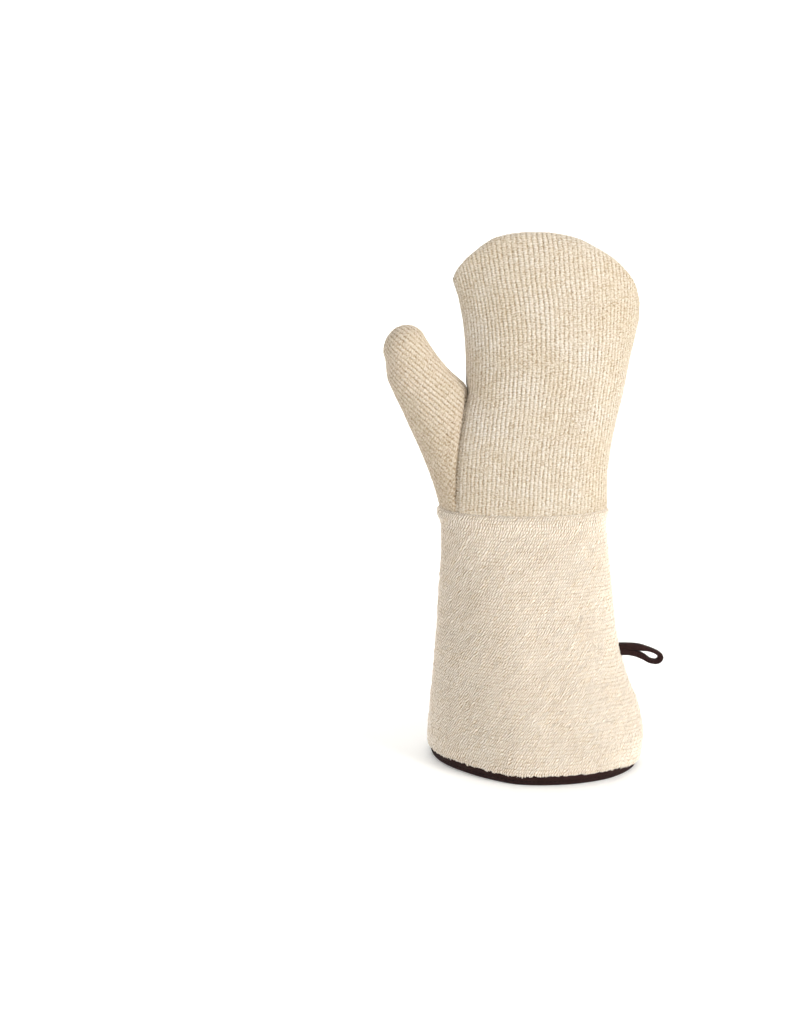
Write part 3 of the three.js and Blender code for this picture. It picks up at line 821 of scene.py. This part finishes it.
# share across, height, spread across, spread up, how high, slant, side
CUFF_FOLDS = [
    (-0.68, 30, 0.14, 50, -1.6, 0.001, -1), (-0.26, 12, 0.14, 46, 1.2, 0.0005, -1),
    (-0.78, 135, 0.16, 46, -2, 0.001, -1), (-0.2, 130, 0.22, 60, 2, -0.001, -1),
    (0.62, 22, 0.1, 34, 0.9, -0.003, -1), (0.12, 66, 0.2, 60, -1, 0, -1),
    (0.4, 22, 0.18, 50, -2.2, 0, 1), (-0.35, 30, 0.2, 60, 2, 0, 1),
    (0.7, 130, 0.16, 50, -1.6, 0, 1),
]
# The left end starts to bend back here, and how softly it does
TURN_START, TURN_SOFTNESS = -0.1, 0.02
# The folds fade out over this height below the wrist
FOLDS_END, FOLDS_FADE = 6.0, 25.0
cuff_left, cuff_right, cuff_half, cuff_turn = table_lines(CUFF_SHAPE)


def cuff_xy(angle, z):
    """Outline of the cuff at each height: a wide oval whose left end is bent
    back, plus the bell-shaped folds, which fade out near the wrist."""
    u, side = section(angle, CUFF_FULLNESS)
    swell = np.zeros_like(u)
    for at_u, at_z, wide, tall, high, slant, on in CUFF_FOLDS:
        up = z - at_z
        fold = on * high * bell(u - at_u - slant * up, wide) * bell(up, tall)
        swell += np.where(on * side >= 0, fold * np.minimum(np.abs(side) * 2, 1), 0)
    past = u - TURN_START
    bend = (np.sqrt(past * past + TURN_SOFTNESS) - past) / 2
    x = mix(cuff_left(z), cuff_right(z), (u + 1) / 2)
    swell *= ramp(z, SEAM_Z - FOLDS_END, SEAM_Z - FOLDS_END - FOLDS_FADE)
    return x, side * cuff_half(z) + cuff_turn(z) * bend + swell


def cuff_grid(angles, heights, inset):
    """Grid of the cuff, moved in square to its outline by the inset. The
    heights may differ from column to column."""
    heights = np.asarray(heights).reshape(len(heights), -1)
    angle, z = np.broadcast_arrays(np.asarray(angles)[None, :], heights)
    x, y = cuff_xy(angle, z)
    (xa, ya), (xb, yb) = cuff_xy(angle + 0.02, z), cuff_xy(angle - 0.02, z)
    along = np.hypot(xa - xb, ya - yb)
    x, y = x - inset * (ya - yb) / along, y + inset * (xa - xb) / along
    return np.stack([x, y, z], -1)


print("cuff, mm:", [x.round(1) for x in cuff_xy(np.array([0, math.pi]), 25.0)[0]], "wide")

# %% [markdown]
# ## Cuff faces and their lower edge
# The cut edge is folded into dark tape. On the real mitt the tape is about
# eight millimetres high, but the last row of loops hangs over it, so only
# some five millimetres show and its upper line is ragged. The cuff's faces go
# down over the tape and curl in to it, with an edge that wanders.

# %% Cuff pieces
CUFF_COLUMNS, CUFF_ROWS = 362, 246
CUFF_INNER_COLUMNS, CUFF_INNER_ROWS = 70, 52
# The columns are shared out evenly at this height
COLUMNS_Z = 90.0
EDGE_Z = 7.2
# The edge wanders, as layers of drift along it
RAGGED = [(0.55, 3.1, 1.0, 31), (0.3, 1.3, 1.0, 32)]
# By the seam the cloth bulges out and hangs lower over the tape
OVERHANG, OVERHANG_X, OVERHANG_FULL_X = 4.0, 78.0, 92.0
# The edge curls in, and a little above it the cloth swells out: mm, reach
LIP_IN, LIP_IN_REACH = 1.1, 0.8
LIP_OUT, LIP_OUT_REACH, LIP_OUT_UP = 0.5, 2.5, 3.0
LINING_FOOT_Z = 10.6
# How worn it is towards the fold (flattened ropes, and painted shade that
# darkens it), over which x, and near the wrist, over mm
CUFF_FOLD_WEAR_AND_SHADE, CUFF_FOLD_WEAR_AND_SHADE_X, CUFF_WRIST_WORN = 1.1, (-25, -60), (0.5, 4)
# Height of a row at the hem, how fast the rows close, the part left out
ROW_AT_HEM, ROW_CLOSING, ROW_LEFT_OUT = 3.2, 0.0021, 0.35


def rows_up(grid):
    """Distance across the ropes: the way up the cloth, the same all round. A
    row is 3.2 mm tall at the hem and closes by 2.1 thousandths of the height,
    so the count of rows is a logarithm of it. The last part of a row is left
    out, so that the wrist seam lies along the middle of one."""
    walked = run_length(grid, 0).mean(axis=1, keepdims=True) + 0 * grid[..., 2]
    rows = -np.log(1 - ROW_CLOSING * walked / ROW_AT_HEM) / ROW_CLOSING
    return (rows - ROW_LEFT_OUT) * CUFF_ROPES["rope"]


def cuff_side(name, front):
    """One face of the cuff from fold to seam, dressed and lined. It is worn
    towards the fold, where painted shade also darkens it, and at the wrist."""
    start = 0.0 if front else math.pi
    girth_at = lambda a: run_length(cuff_grid(a, [COLUMNS_Z], 0.0), 1)[0]
    angles = padded_angles(evenly(girth_at, start, start + math.pi, CUFF_COLUMNS))
    first = cuff_grid(angles, [EDGE_Z], 0.0)
    edge = EDGE_Z + drifts(run_length(first, 1)[0], 0.0, RAGGED)
    edge = edge - OVERHANG * ramp(first[0, :, 0], OVERHANG_X, OVERHANG_FULL_X)
    share = np.insert(np.linspace(0, 1, CUFF_ROWS), -1, 1 - EDGE_ROW)[:, None]
    heights = mix(edge, SEAM_Z, share)
    up = heights - edge
    lip = LIP_IN * bell(up, LIP_IN_REACH) - LIP_OUT * bell(up - LIP_OUT_UP, LIP_OUT_REACH)
    grid = cuff_grid(angles, heights, lip)
    walked = run_length(grid, 1)
    walked = walked - walked[:, [PADDING if front else -PADDING - 1]]
    to_side = np.abs(walked).max(axis=1, keepdims=True) - np.abs(walked)
    to_wrist = SEAM_Z - heights
    wrist = wrist_pull(grid, to_wrist, CUFF_WRIST_REACH)
    sink = np.maximum(seam_pull(to_side, *CUFF_SEAM), wrist)
    wear_and_shade = CUFF_FOLD_WEAR_AND_SHADE * ramp(grid[..., 0], *CUFF_FOLD_WEAR_AND_SHADE_X) + seam_pull(to_wrist, *CUFF_WRIST_WORN)
    laid = rows_up(grid), walked
    dressed = dress(grid, *laid, CUFF_ROPES, CUFF_SHARES, CUFF_SEED, sink, wear_and_shade)
    inner_angles = np.linspace(start, start + math.pi, CUFF_INNER_COLUMNS)
    inner_heights = np.linspace(LINING_FOOT_Z, SEAM_Z, CUFF_INNER_ROWS)
    return lined_piece(name, dressed, cuff_grid(inner_angles, inner_heights, WALL))


cuff_front = cuff_side("cuff_front", True)
cuff_back = cuff_side("cuff_back", False)
print("cuff faces:", triangles(cuff_front), "and", triangles(cuff_back), "triangles")

# %% [markdown]
# ## Tape binding
# The binding is one woven tape folded over the hem. Its section is a U, drawn
# as a middle line with half the tape's thickness to each side, and it is
# carried round the cuff's outline. Cotton tape has fine ribs across it, and
# it is never quite straight, so its height and the fold wander a little.

# %% Tape binding
TAPE_HALF, TAPE_TOP, TAPE_RIB = 0.52, 9.2, 1.25
# The U: inset of its two legs, height of its foot, radius of its corners
TAPE_OUT, TAPE_BACK, TAPE_LOW, TAPE_CORNER = 0.85, 3.55, 0.55, 0.9
TAPE_COLUMNS = 1200
# It wanders by mm: in even waves round the hem and by drift. A small share
# of that goes in and out, as its ribs do.
TAPE_SWING, TAPE_SWINGS, TAPE_DRIFT = 0.22, 9, [(0.18, 14.0, 1.0, 51)]
TAPE_IN_SHARE, TAPE_RIB_HIGH = 0.18, 0.07


def banded(middle, half):
    """Outline of a band: the middle line moved to both sides by the half
    thickness, the second side walked back. Both are square to the line."""
    way = np.gradient(middle, axis=0)
    way /= np.linalg.norm(way, axis=-1, keepdims=True)
    aside = np.stack([way[:, 1], -way[:, 0]], -1) * half
    tip = way * half * 0.5
    ends = [middle[:1] - tip[:1], middle[-1:] + tip[-1:]]
    return np.concatenate([middle + aside, ends[1], (middle - aside)[::-1], ends[0]])


def binding_middle():
    """Inset and height of the U: down the outside, round, and up inside,
    where the same line is walked back in a mirror."""
    turn = np.linspace(0, math.pi / 2, 6)
    leg = np.linspace(TAPE_TOP, TAPE_LOW + TAPE_CORNER + 0.6, 9)
    inset = TAPE_OUT + TAPE_CORNER * np.append(0 * leg, 1 - np.cos(turn))
    height = np.append(leg, TAPE_LOW + TAPE_CORNER * (1 - np.sin(turn)))
    mirrored = TAPE_OUT + TAPE_BACK - inset[::-1]
    return np.stack([np.append(inset, mirrored), np.append(height, height[::-1])], -1)


def hem_piece():
    """The binding's section carried round the hem, ribbed and wandering."""
    outline = banded(binding_middle(), TAPE_HALF)
    deep, tall = outline[:, :1], outline[:, 1:]
    ring = np.linspace(0, 2 * math.pi, TAPE_COLUMNS, endpoint=False)
    around = run_length(cuff_grid(ring, [2.0], 0.0), 1)[0]
    turn = 2 * math.pi * around / around[-1]
    wander = TAPE_SWING * np.sin(TAPE_SWINGS * turn) + drifts(around, 0.0, TAPE_DRIFT)
    rib = TAPE_RIB_HIGH * np.cos(np.round(around[-1] / TAPE_RIB) * turn)
    side = np.sign(deep - (TAPE_OUT + TAPE_BACK) / 2)
    inset = deep + (TAPE_IN_SHARE * wander + rib) * side
    height = tall + wander * np.clip(tall / TAPE_TOP, 0, 1)
    points = cuff_grid(ring, height, inset).reshape(-1, 3)
    faces = grid_faces(len(outline) + 1, TAPE_COLUMNS, closed=True, flip=True) % len(points)
    down = np.cumsum(np.hypot(*np.gradient(outline, axis=0).T))
    cloth = np.stack(np.broadcast_arrays(around, down[:, None]), -1)
    return new_piece("hem_tape", points, faces, cloth.reshape(-1, 2))


hem_tape = hem_piece()
print("hem tape:", triangles(hem_tape), "triangles")

# %% [markdown]
# ## Lockstitch along the tape
# A row of short stitches in brown thread holds the tape. Each is a slim
# capsule, a few dozen faces, sunk by half into the tape. All of them are
# worked out in one array: their middles, and a small grid round each.

# %% Stitches
STITCH_STEP, STITCH_LENGTH, STITCH_THICK, STITCH_FLAT = 3.3, 2.376, 0.34, 0.8
STITCH_Z, STITCH_INSET = 3.7, 0.28
# Shares of a stitch's half length at which it has a ring of eight points
STITCH_RINGS, STITCH_COLUMNS = [-1.0, -0.85, -0.45, 0.0, 0.45, 0.85, 1.0], 8


def stitch_row(name, middle, way, out):
    """Capsules: along each one the radius is the root of one minus the fourth
    power of the share from its middle, flattened a little to the cloth."""
    turn = np.linspace(0, 2 * math.pi, STITCH_COLUMNS, endpoint=False)
    share, turn = np.meshgrid(STITCH_RINGS, turn, indexing="ij")
    radius = STITCH_THICK * np.sqrt(np.clip(1.02 - share**4, 0, 1))
    along, aside = share * STITCH_LENGTH / 2, radius * np.cos(turn)
    up = STITCH_FLAT * radius * np.sin(turn)
    axes = zip((way, np.cross(out, way), out), (along, aside, up))
    grid = middle[:, None, None] + sum(axis[:, None, None] * by[..., None] for axis, by in axes)
    count, rows, columns, _ = grid.shape
    one = grid_faces(rows, columns, closed=True, flip=True)
    ring = np.arange(columns)
    ends = np.stack([-ring % columns, ring + (rows - 1) * columns])[:, ::-1]
    first = (np.arange(count) * rows * columns)[:, None, None]
    faces = [(one + first).reshape(-1, 4), (ends + first).reshape(-1, columns)]
    return new_piece(name, grid.reshape(-1, 3), faces)


def hem_stitches():
    """Stitches at equal steps along the tape, half sunk into it."""
    fine = np.linspace(0, 2 * math.pi, 3000)
    line = cuff_grid(fine, [STITCH_Z], STITCH_INSET)[0]
    walked = run_length(line[None], 1)[0]
    point_at = lambda d: np.stack([np.interp(d, walked, column) for column in line.T], -1)
    count = int(walked[-1] / STITCH_STEP)
    at = (np.arange(count) + 0.5) * walked[-1] / count
    middle = point_at(at)
    way = point_at(at + 0.4) - middle
    way /= np.linalg.norm(way, axis=-1, keepdims=True)
    return stitch_row("hem_stitches", middle, way, np.stack([way[:, 1], -way[:, 0], 0 * at], -1))


hem_thread = hem_stitches()
print("hem stitches:", triangles(hem_thread), "triangles")

# %% [markdown]
# ## Hanging loop
# The loop is a tape folded lengthwise to a narrow twill band. It leaves the
# side seam as two layers one above the other, opens into an eye and turns
# back at the tip. Here it is one band swept along that line, with the middle
# line, its thickness and a rounded section, and with twill ribs raised on it.

# %% Hanging loop
# x, z, half thickness along the middle line, from the upper end round the tip
LOOP_MIDDLE = [
    (77, 97.3, 2.6), (84, 97.3, 2.6), (91, 97, 2.6), (97, 96, 2.4),
    (102.2, 94.9, 1.7), (107, 93.1, 1.45), (110.9, 90.6, 1.7), (112.4, 87.9, 2.3),
    (111, 85.2, 2.2), (108, 84.3, 1.9), (104, 85.1, 1.9), (98.9, 88.2, 2.3),
    (92, 91.4, 2.6), (85.5, 92.6, 2.6), (77, 92.7, 2.6),
]
LOOP_ROWS, LOOP_COLUMNS = 300, 48
# Width of the band, then spacing, height and slant of its twill ribs
LOOP_WIDTH, TWILL_STEP, TWILL_HIGH, TWILL_SLANT = 6.0, 1.3, 0.09, 0.9
# How much a rib widens the band, as a share, and how its edges wander
TWILL_WIDER, LOOP_DRIFT = 0.02, [(0.12, 2.2, 1.0, 61)]


def boxy(wave):
    """A wave with flatter tops: the sign times the root of the size. It turns
    a circle into a rounded box."""
    return np.sign(wave) * np.abs(wave) ** 0.5


def hanging_loop():
    """A rounded band swept along the middle line, with twill ribs raised."""
    table = np.array(LOOP_MIDDLE)
    reach = np.concatenate([[0], np.cumsum(np.hypot(*np.diff(table[:, :2], axis=0).T))])
    s = np.linspace(0, reach[-1], LOOP_ROWS)
    x, z, half = (smooth_line(reach, column)(s) for column in table.T)
    way = np.stack([np.gradient(x, s), np.gradient(z, s)])
    way_x, way_z = (way / np.hypot(*way))[..., None]
    turn = np.linspace(0, 2 * math.pi, LOOP_COLUMNS, endpoint=False)
    wide, thick = boxy(np.cos(turn)) * LOOP_WIDTH / 2, boxy(np.sin(turn))
    twill = np.sin(2 * math.pi * (s[:, None] + wide * TWILL_SLANT) / TWILL_STEP)
    off = thick * (half[:, None] + TWILL_HIGH * twill)
    y = wide * (1 + TWILL_WIDER * twill) + drifts(s, 0.0, LOOP_DRIFT)[:, None]
    grid = np.stack([x[:, None] - way_z * off, y, z[:, None] + way_x * off], -1)
    around = np.cumsum(np.hypot(np.gradient(wide), np.gradient(thick * 2)))
    flat = np.stack(np.broadcast_arrays(s[:, None], around), -1).reshape(-1, 2)
    ends = np.zeros((2, 2))
    return new_piece("loop_tape", *closed_form(crowned(grid)), np.concatenate([flat, ends]))


loop_tape = hanging_loop()
print("hanging loop:", triangles(loop_tape), "triangles")

# %% [markdown]
# ## Colours and nodes
# Picture colours are sRGB, and Blender reckons in linear light, so each hex
# value is turned once. One helper adds any node, with its settings and links.

# %% Colour and node helpers


def linear(hex_value):
    """sRGB hex to linear: below 0.04045 a straight line, above it a power."""
    channels = np.array([int(hex_value[i:i + 2], 16) / 255 for i in (0, 2, 4)])
    power = ((channels + 0.055) / 1.055) ** 2.4
    return (*np.where(channels <= 0.04045, channels / 12.92, power).tolist(), 1.0)


def feed(tree, node, inputs):
    """Sets a node's inputs, by order or by name: each is given a value, or an
    output to link from."""
    for key, value in inputs.items() if isinstance(inputs, dict) else enumerate(inputs):
        if isinstance(value, bpy.types.NodeSocket):
            tree.links.new(value, node.inputs[key])
        else:
            node.inputs[key].default_value = value


def add_node(tree, kind, inputs=(), stops=(), **settings):
    """Adds a node with its settings and inputs, and returns its outputs.
    Stops are a ramp's places and colours."""
    node = tree.nodes.new(kind)
    for key, value in settings.items():
        setattr(node, key, value)
    feed(tree, node, inputs)
    for k, (place, colour) in enumerate(stops):
        elements = node.color_ramp.elements
        element = elements[k] if k < len(elements) else elements.new(place)
        element.position, element.color = place, linear(colour)
    return node.outputs


def new_material(name):
    """A material with its node tree and the shader in it."""
    material = bpy.data.materials.new(name)
    material.use_nodes = True
    return material, material.node_tree, material.node_tree.nodes["Principled BSDF"]


print("cream in linear light:", [round(c, 3) for c in linear("eadbc7")[:3]])

# %% [markdown]
# ## Looped terry cotton
# Undyed cotton yarn, spun soft and woven into loops: matt, cream on top and
# darker down between the loops, where little light gets in. The mesh carries
# the ropes and the loops, and its map counts them, so the material repeats
# the same half waves for each strand of yarn, finer than the mesh can.

# %% Terry material
# Real yarns are 0.5 mm thick, less than a pixel of the picture. The grain is
# drawn three times as coarse, so that the cloth looks looped and not smooth.
GRAIN_SCALE = 1 / 0.0015
FIBRE_SCALE = 1 / 0.0005
CLOUD_SCALE = 1 / 0.03
COTTON = [(0.2, "927858"), (0.45, "c9b396"), (0.7, "eadbc7"), (0.95, "f9efe3")]
# What the mesh's pile mark adds to the colour, as painted shade that leaves low
# loops and pulled seams darker, and what the brushed mark takes off: worn and
# brushed patches, and painted shade on the cuff's fold side, the thumb's root
# and the hand's right side
PILE_LIGHT, BRUSHED_AND_PAINTED_SHADE = 0.25, -0.12
# Grain and fibre against the loops' height, and the height of it all
GRAIN_RELIEF, FIBRE_RELIEF, BUMP_HIGH = 1.2, 0.3, 0.0008
MATT_COTTON = {
    "Roughness": 0.95, "Specular IOR Level": 0.2, "Sheen Weight": 0.2, "Sheen Roughness": 0.6,
}
MATH = "ShaderNodeMath"
# The first input times the second, plus the third
MADD = {"operation": "MULTIPLY_ADD"}


def loop_nodes(tree, brushed_and_shade, ridge_share, strand_share):
    """Height in the material, as in loop_height: a half sine wave for each
    rope, times one for each loop, whose size a noise picks for each loop."""
    places = add_node(tree, "ShaderNodeTexCoord")["UV"]
    counted = add_node(tree, "ShaderNodeSeparateXYZ", [places])
    waves = []
    for k in (0, 1):
        turn = add_node(tree, MATH, [counted[k], math.pi], operation="MULTIPLY")[0]
        sine = add_node(tree, MATH, [turn], operation="SINE")[0]
        waves.append(add_node(tree, MATH, [sine], operation="ABSOLUTE")[0])
    cell = add_node(tree, "ShaderNodeVectorMath", [places], operation="FLOOR")[0]
    chance = add_node(tree, "ShaderNodeTexWhiteNoise", {"Vector": cell})["Value"]
    share = add_node(tree, MATH, [brushed_and_shade, -BRUSHED_FLAT * ridge_share, ridge_share], **MADD)[0]
    rope = add_node(tree, MATH, [waves[0], ROPE_POWER], operation="POWER")[0]
    gap = add_node(tree, MATH, [rope, 1.0], operation="SUBTRACT")[0]
    ridge = add_node(tree, MATH, [gap, share, 1.0], **MADD)[0]
    size = add_node(tree, MATH, [chance, LOOP_SPREAD, LOOP_LEAST], **MADD)[0]
    loop = add_node(tree, MATH, [waves[1], size], operation="MULTIPLY")[0]
    strand = add_node(tree, MATH, [loop, strand_share, 1 - strand_share], **MADD)[0]
    return add_node(tree, MATH, [ridge, strand], operation="MULTIPLY")[0]


def terry_cotton(name, shares, deep, level, rough, dull, clear):
    """Colour from the height times how deep the gaps look, plus a level and a
    rough share of grain, times a faint cloud between the dull and the clear
    tint. The same height and the grain drive the bump."""
    material, tree, shader = new_material(name)
    brushed_and_shade, pile = (
        add_node(tree, "ShaderNodeAttribute", attribute_name=mark)["Fac"]
        for mark in ("brushed_and_shade", "pile")
    )
    height = loop_nodes(tree, brushed_and_shade, *shares[:2])
    where = add_node(tree, "ShaderNodeTexCoord")["Object"]
    grain, fibre, cloud = (
        add_node(tree, "ShaderNodeTexNoise", {"Vector": where, "Scale": fine, "Detail": folds})["Fac"]
        for fine, folds in ((GRAIN_SCALE, 1.0), (FIBRE_SCALE, 2.0), (CLOUD_SCALE, 3.0))
    )
    shade = add_node(tree, MATH, [height, deep, level], **MADD)[0]
    # Painted shade: high loops lighter, low loops and pulled seams darker, and the brushed mark
    # darker, partly for worn patches and partly as painted shade
    for value, part in ((pile, PILE_LIGHT), (grain, rough), (brushed_and_shade, BRUSHED_AND_PAINTED_SHADE)):
        shade = add_node(tree, MATH, [value, part, shade], **MADD)[0]
    cotton = add_node(tree, "ShaderNodeValToRGB", [shade], COTTON)["Color"]
    tint = add_node(tree, "ShaderNodeValToRGB", [cloud], [(0.35, dull), (0.65, clear)])["Color"]
    layers = {0: 1.0, 6: cotton, 7: tint}
    mixed = add_node(tree, "ShaderNodeMix", layers, data_type="RGBA", blend_type="MULTIPLY")[2]
    relief = add_node(tree, MATH, [grain, GRAIN_RELIEF, height], **MADD)[0]
    relief = add_node(tree, MATH, [fibre, FIBRE_RELIEF, relief], **MADD)[0]
    relief = {"Height": relief, "Strength": 1.0, "Distance": BUMP_HIGH}
    bump = add_node(tree, "ShaderNodeBump", relief)["Normal"]
    feed(tree, shader, {"Base Color": mixed, "Normal": bump, **MATT_COTTON})
    return material


HAND_TERRY = (HAND_SHARES, 0.55, -0.35, 0.8, "e9e9e7", "eceff3")
CUFF_TERRY = (CUFF_SHARES, 1.15, -0.07, 0.55, "fcf9f5", "fffefc")
# Painted shade: the thumb gets the hand's terry with a darker tint and a lower
# level, standing in for the shade that falls on it
THUMB_PAINTED_SHADE_TERRY = (HAND_SHARES, 0.55, -0.365, 0.8, "e3e2de", "e9e7e6")
hand_terry = terry_cotton("looped_terry_cotton_ribbed", *HAND_TERRY)
cuff_terry = terry_cotton("looped_terry_cotton_slanted", *CUFF_TERRY)
thumb_painted_shade_terry = terry_cotton("looped_terry_cotton_painted_shade", *THUMB_PAINTED_SHADE_TERRY)
print("terry nodes:", len(hand_terry.node_tree.nodes), "in each of three materials")

# %% [markdown]
# ## Woven cotton binding tape
# Cotton dyed dark brown and woven as a narrow twill. The ribs run slanted
# over it, worn a little lighter on top, and lint clings to it. The stripes
# come from the tape's own map, so they follow it round the cuff and the loop.

# %% Tape material
LINT_SCALE = 1 / 0.0009
BROWN = [(0.2, "0a0303"), (0.7, "170908"), (0.9, "261210"), (1.0, "3c2422")]
MATT_TAPE = {
    "Roughness": 0.85, "Specular IOR Level": 0.15, "Sheen Weight": 0.03, "Sheen Roughness": 0.5,
}
tape, tree, shader = new_material("woven_cotton_binding_tape")
place = add_node(tree, "ShaderNodeTexCoord")
slanted = {"Vector": place["UV"], "Rotation": (0, 0, math.radians(40))}
slanted = add_node(tree, "ShaderNodeMapping", slanted)[0]
ribs = {"Vector": slanted, "Scale": 0.28, "Distortion": 1.2, "Detail": 1.0, "Detail Scale": 2.0}
twill = add_node(tree, "ShaderNodeTexWave", ribs)["Fac"]
lint = {"Vector": place["Object"], "Scale": LINT_SCALE, "Detail": 3.0}
lint = add_node(tree, "ShaderNodeTexNoise", lint)["Fac"]
weave = add_node(tree, MATH, [lint, 0.6, twill], **MADD)[0]
brown = add_node(tree, "ShaderNodeValToRGB", [weave], BROWN)["Color"]
relief = {"Height": weave, "Strength": 0.6, "Distance": 0.0003}
bump = add_node(tree, "ShaderNodeBump", relief)["Normal"]
feed(tree, shader, {"Base Color": brown, "Normal": bump, **MATT_TAPE})
print("tape nodes:", len(tree.nodes))

# %% [markdown]
# ## Putting the pieces on the part
# Every new piece rides on the part's one body, takes its material, and hides
# the CAD node that it stands for.

# %% Ride and replace
DRESSING = [
    (hand_front, "hand_pocket", "terry", hand_terry),
    (hand_back, "hand_pocket", "terry", hand_terry),
    (thumb, "thumb_pocket", "terry", thumb_painted_shade_terry),
    (cuff_front, "gauntlet_cuff", "terry", cuff_terry),
    (cuff_back, "gauntlet_cuff", "terry", cuff_terry),
    (hem_tape, "hem_binding", "binding_tape", tape),
    (hem_thread, "hem_binding", "binding_tape", tape),
    (loop_tape, "hanging_loop", "binding_tape", tape),
]
for piece, node, slot, material in DRESSING:
    piece.data.materials.clear()
    piece.data.materials.append(material)
    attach(piece, "root")
    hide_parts(node)
total = sum(triangles(piece) for piece, *_ in DRESSING)
print("pieces:", len(DRESSING), "triangles in all:", total)

# %% [markdown]
# ## Studio
# A pale round room serves as floor and background: a disc whose edge curves up
# into a wall all round, so it looks the same from every side. A large soft
# lamp stands to the right, in front and above, so the left side falls off
# gently, and a pale surrounding fills the shadows.

# %% Room
FLOOR_RADIUS, BEND_RADIUS, WALL_TOP = 1.6, 1.2, 4.0


def round_room():
    """Profile of floor edge, quarter circle and wall, carried right round."""
    turn = np.linspace(0, math.pi / 2, 24)
    reach = np.append(FLOOR_RADIUS + BEND_RADIUS * np.sin(turn), FLOOR_RADIUS + BEND_RADIUS)
    z = np.append(BEND_RADIUS * (1 - np.cos(turn)), WALL_TOP)
    way = np.linspace(0, 2 * math.pi, 128, endpoint=False)
    around, up = [np.cos(way), np.sin(way)], np.ones_like(way)
    grid = np.stack([*(np.outer(reach, by) for by in around), np.outer(z, up)], -1)
    faces = grid_faces(len(reach), len(way), closed=True, flip=True).tolist()
    mesh = bpy.data.meshes.new("studio_room")
    mesh.from_pydata(grid.reshape(-1, 3).tolist(), [], faces + [list(range(len(way)))])
    mesh.shade_smooth()
    room = bpy.data.objects.new("studio_room", mesh)
    bpy.context.scene.collection.objects.link(room)
    return room


room = round_room()
paper, tree, shader = new_material("matt_white_paper")
place = add_node(tree, "ShaderNodeTexCoord")["Object"]
fleck = add_node(tree, "ShaderNodeTexNoise", {"Vector": place, "Scale": 400.0})["Fac"]
white = add_node(tree, "ShaderNodeValToRGB", [fleck], [(0.3, "f9f9f8"), (0.7, "fcfcfb")])["Color"]
glow = {"Emission Color": linear("ffffff"), "Emission Strength": 0.12}
feed(tree, shader, {"Base Color": white, "Roughness": 0.9, **glow})
room.data.materials.append(paper)
print("room:", len(room.data.polygons), "faces")

# %% Lamps and surroundings
# place and aim in metres, width in metres, watts, colour
LAMPS = {
    "key_lamp": ((1.63, -1.18, 1.15), (0, 0, 0.2), 0.9, 32.0, "fffdf9"),
    "top_lamp": ((-0.2, -0.1, 2.4), (0, 0, 0.0), 2.0, 8.0, "ffffff"),
    "back_lamp": ((-0.5, 0.9, 1.9), (0, 2.6, 0.9), 2.0, 34.0, "ffffff"),
}


def soft_lamp(name, place, aim, size, power, colour):
    """A round lamp turned towards its aim. The wider it is, the softer."""
    data = bpy.data.lights.new(name, "AREA")
    data.shape, data.size, data.energy = "DISK", size, power
    data.color = linear(colour)[:3]
    lamp = bpy.data.objects.new(name, data)
    lamp.location = place
    lamp.rotation_euler = (Vector(aim) - Vector(place)).to_track_quat("-Z", "Y").to_euler()
    bpy.context.scene.collection.objects.link(lamp)


for name, lamp in LAMPS.items():
    soft_lamp(name, *lamp)
world = bpy.data.worlds.new("pale_studio")
world.use_nodes = True
surroundings = {"Color": linear("fff9f2"), "Strength": 0.11}
feed(world.node_tree, world.node_tree.nodes["Background"], surroundings)
bpy.context.scene.world = world
bpy.context.scene.view_settings.view_transform = "Standard"
print("lamps:", ", ".join(LAMPS))

# %% [markdown]
# ## Camera
# The photograph looks straight at the mitt's face from a little above, with a
# mild telephoto lens, and the mitt stands right of the picture's middle.

# %% Camera
CAMERA_TARGET = np.array([-100.9, 0.0, 209.0])
CAMERA_DISTANCE = 1.575
CAMERA_RISE = math.radians(15)
camera_data = bpy.data.cameras.new("camera")
camera_data.lens, camera_data.sensor_width = 70, 36
camera = bpy.data.objects.new("camera", camera_data)
away = Vector((0, -math.cos(CAMERA_RISE), math.sin(CAMERA_RISE)))
camera.location = Vector(to_frame(CAMERA_TARGET)) + away * CAMERA_DISTANCE
camera.rotation_euler = (math.pi / 2 - CAMERA_RISE, 0, 0)
bpy.context.scene.collection.objects.link(camera)
bpy.context.scene.camera = camera
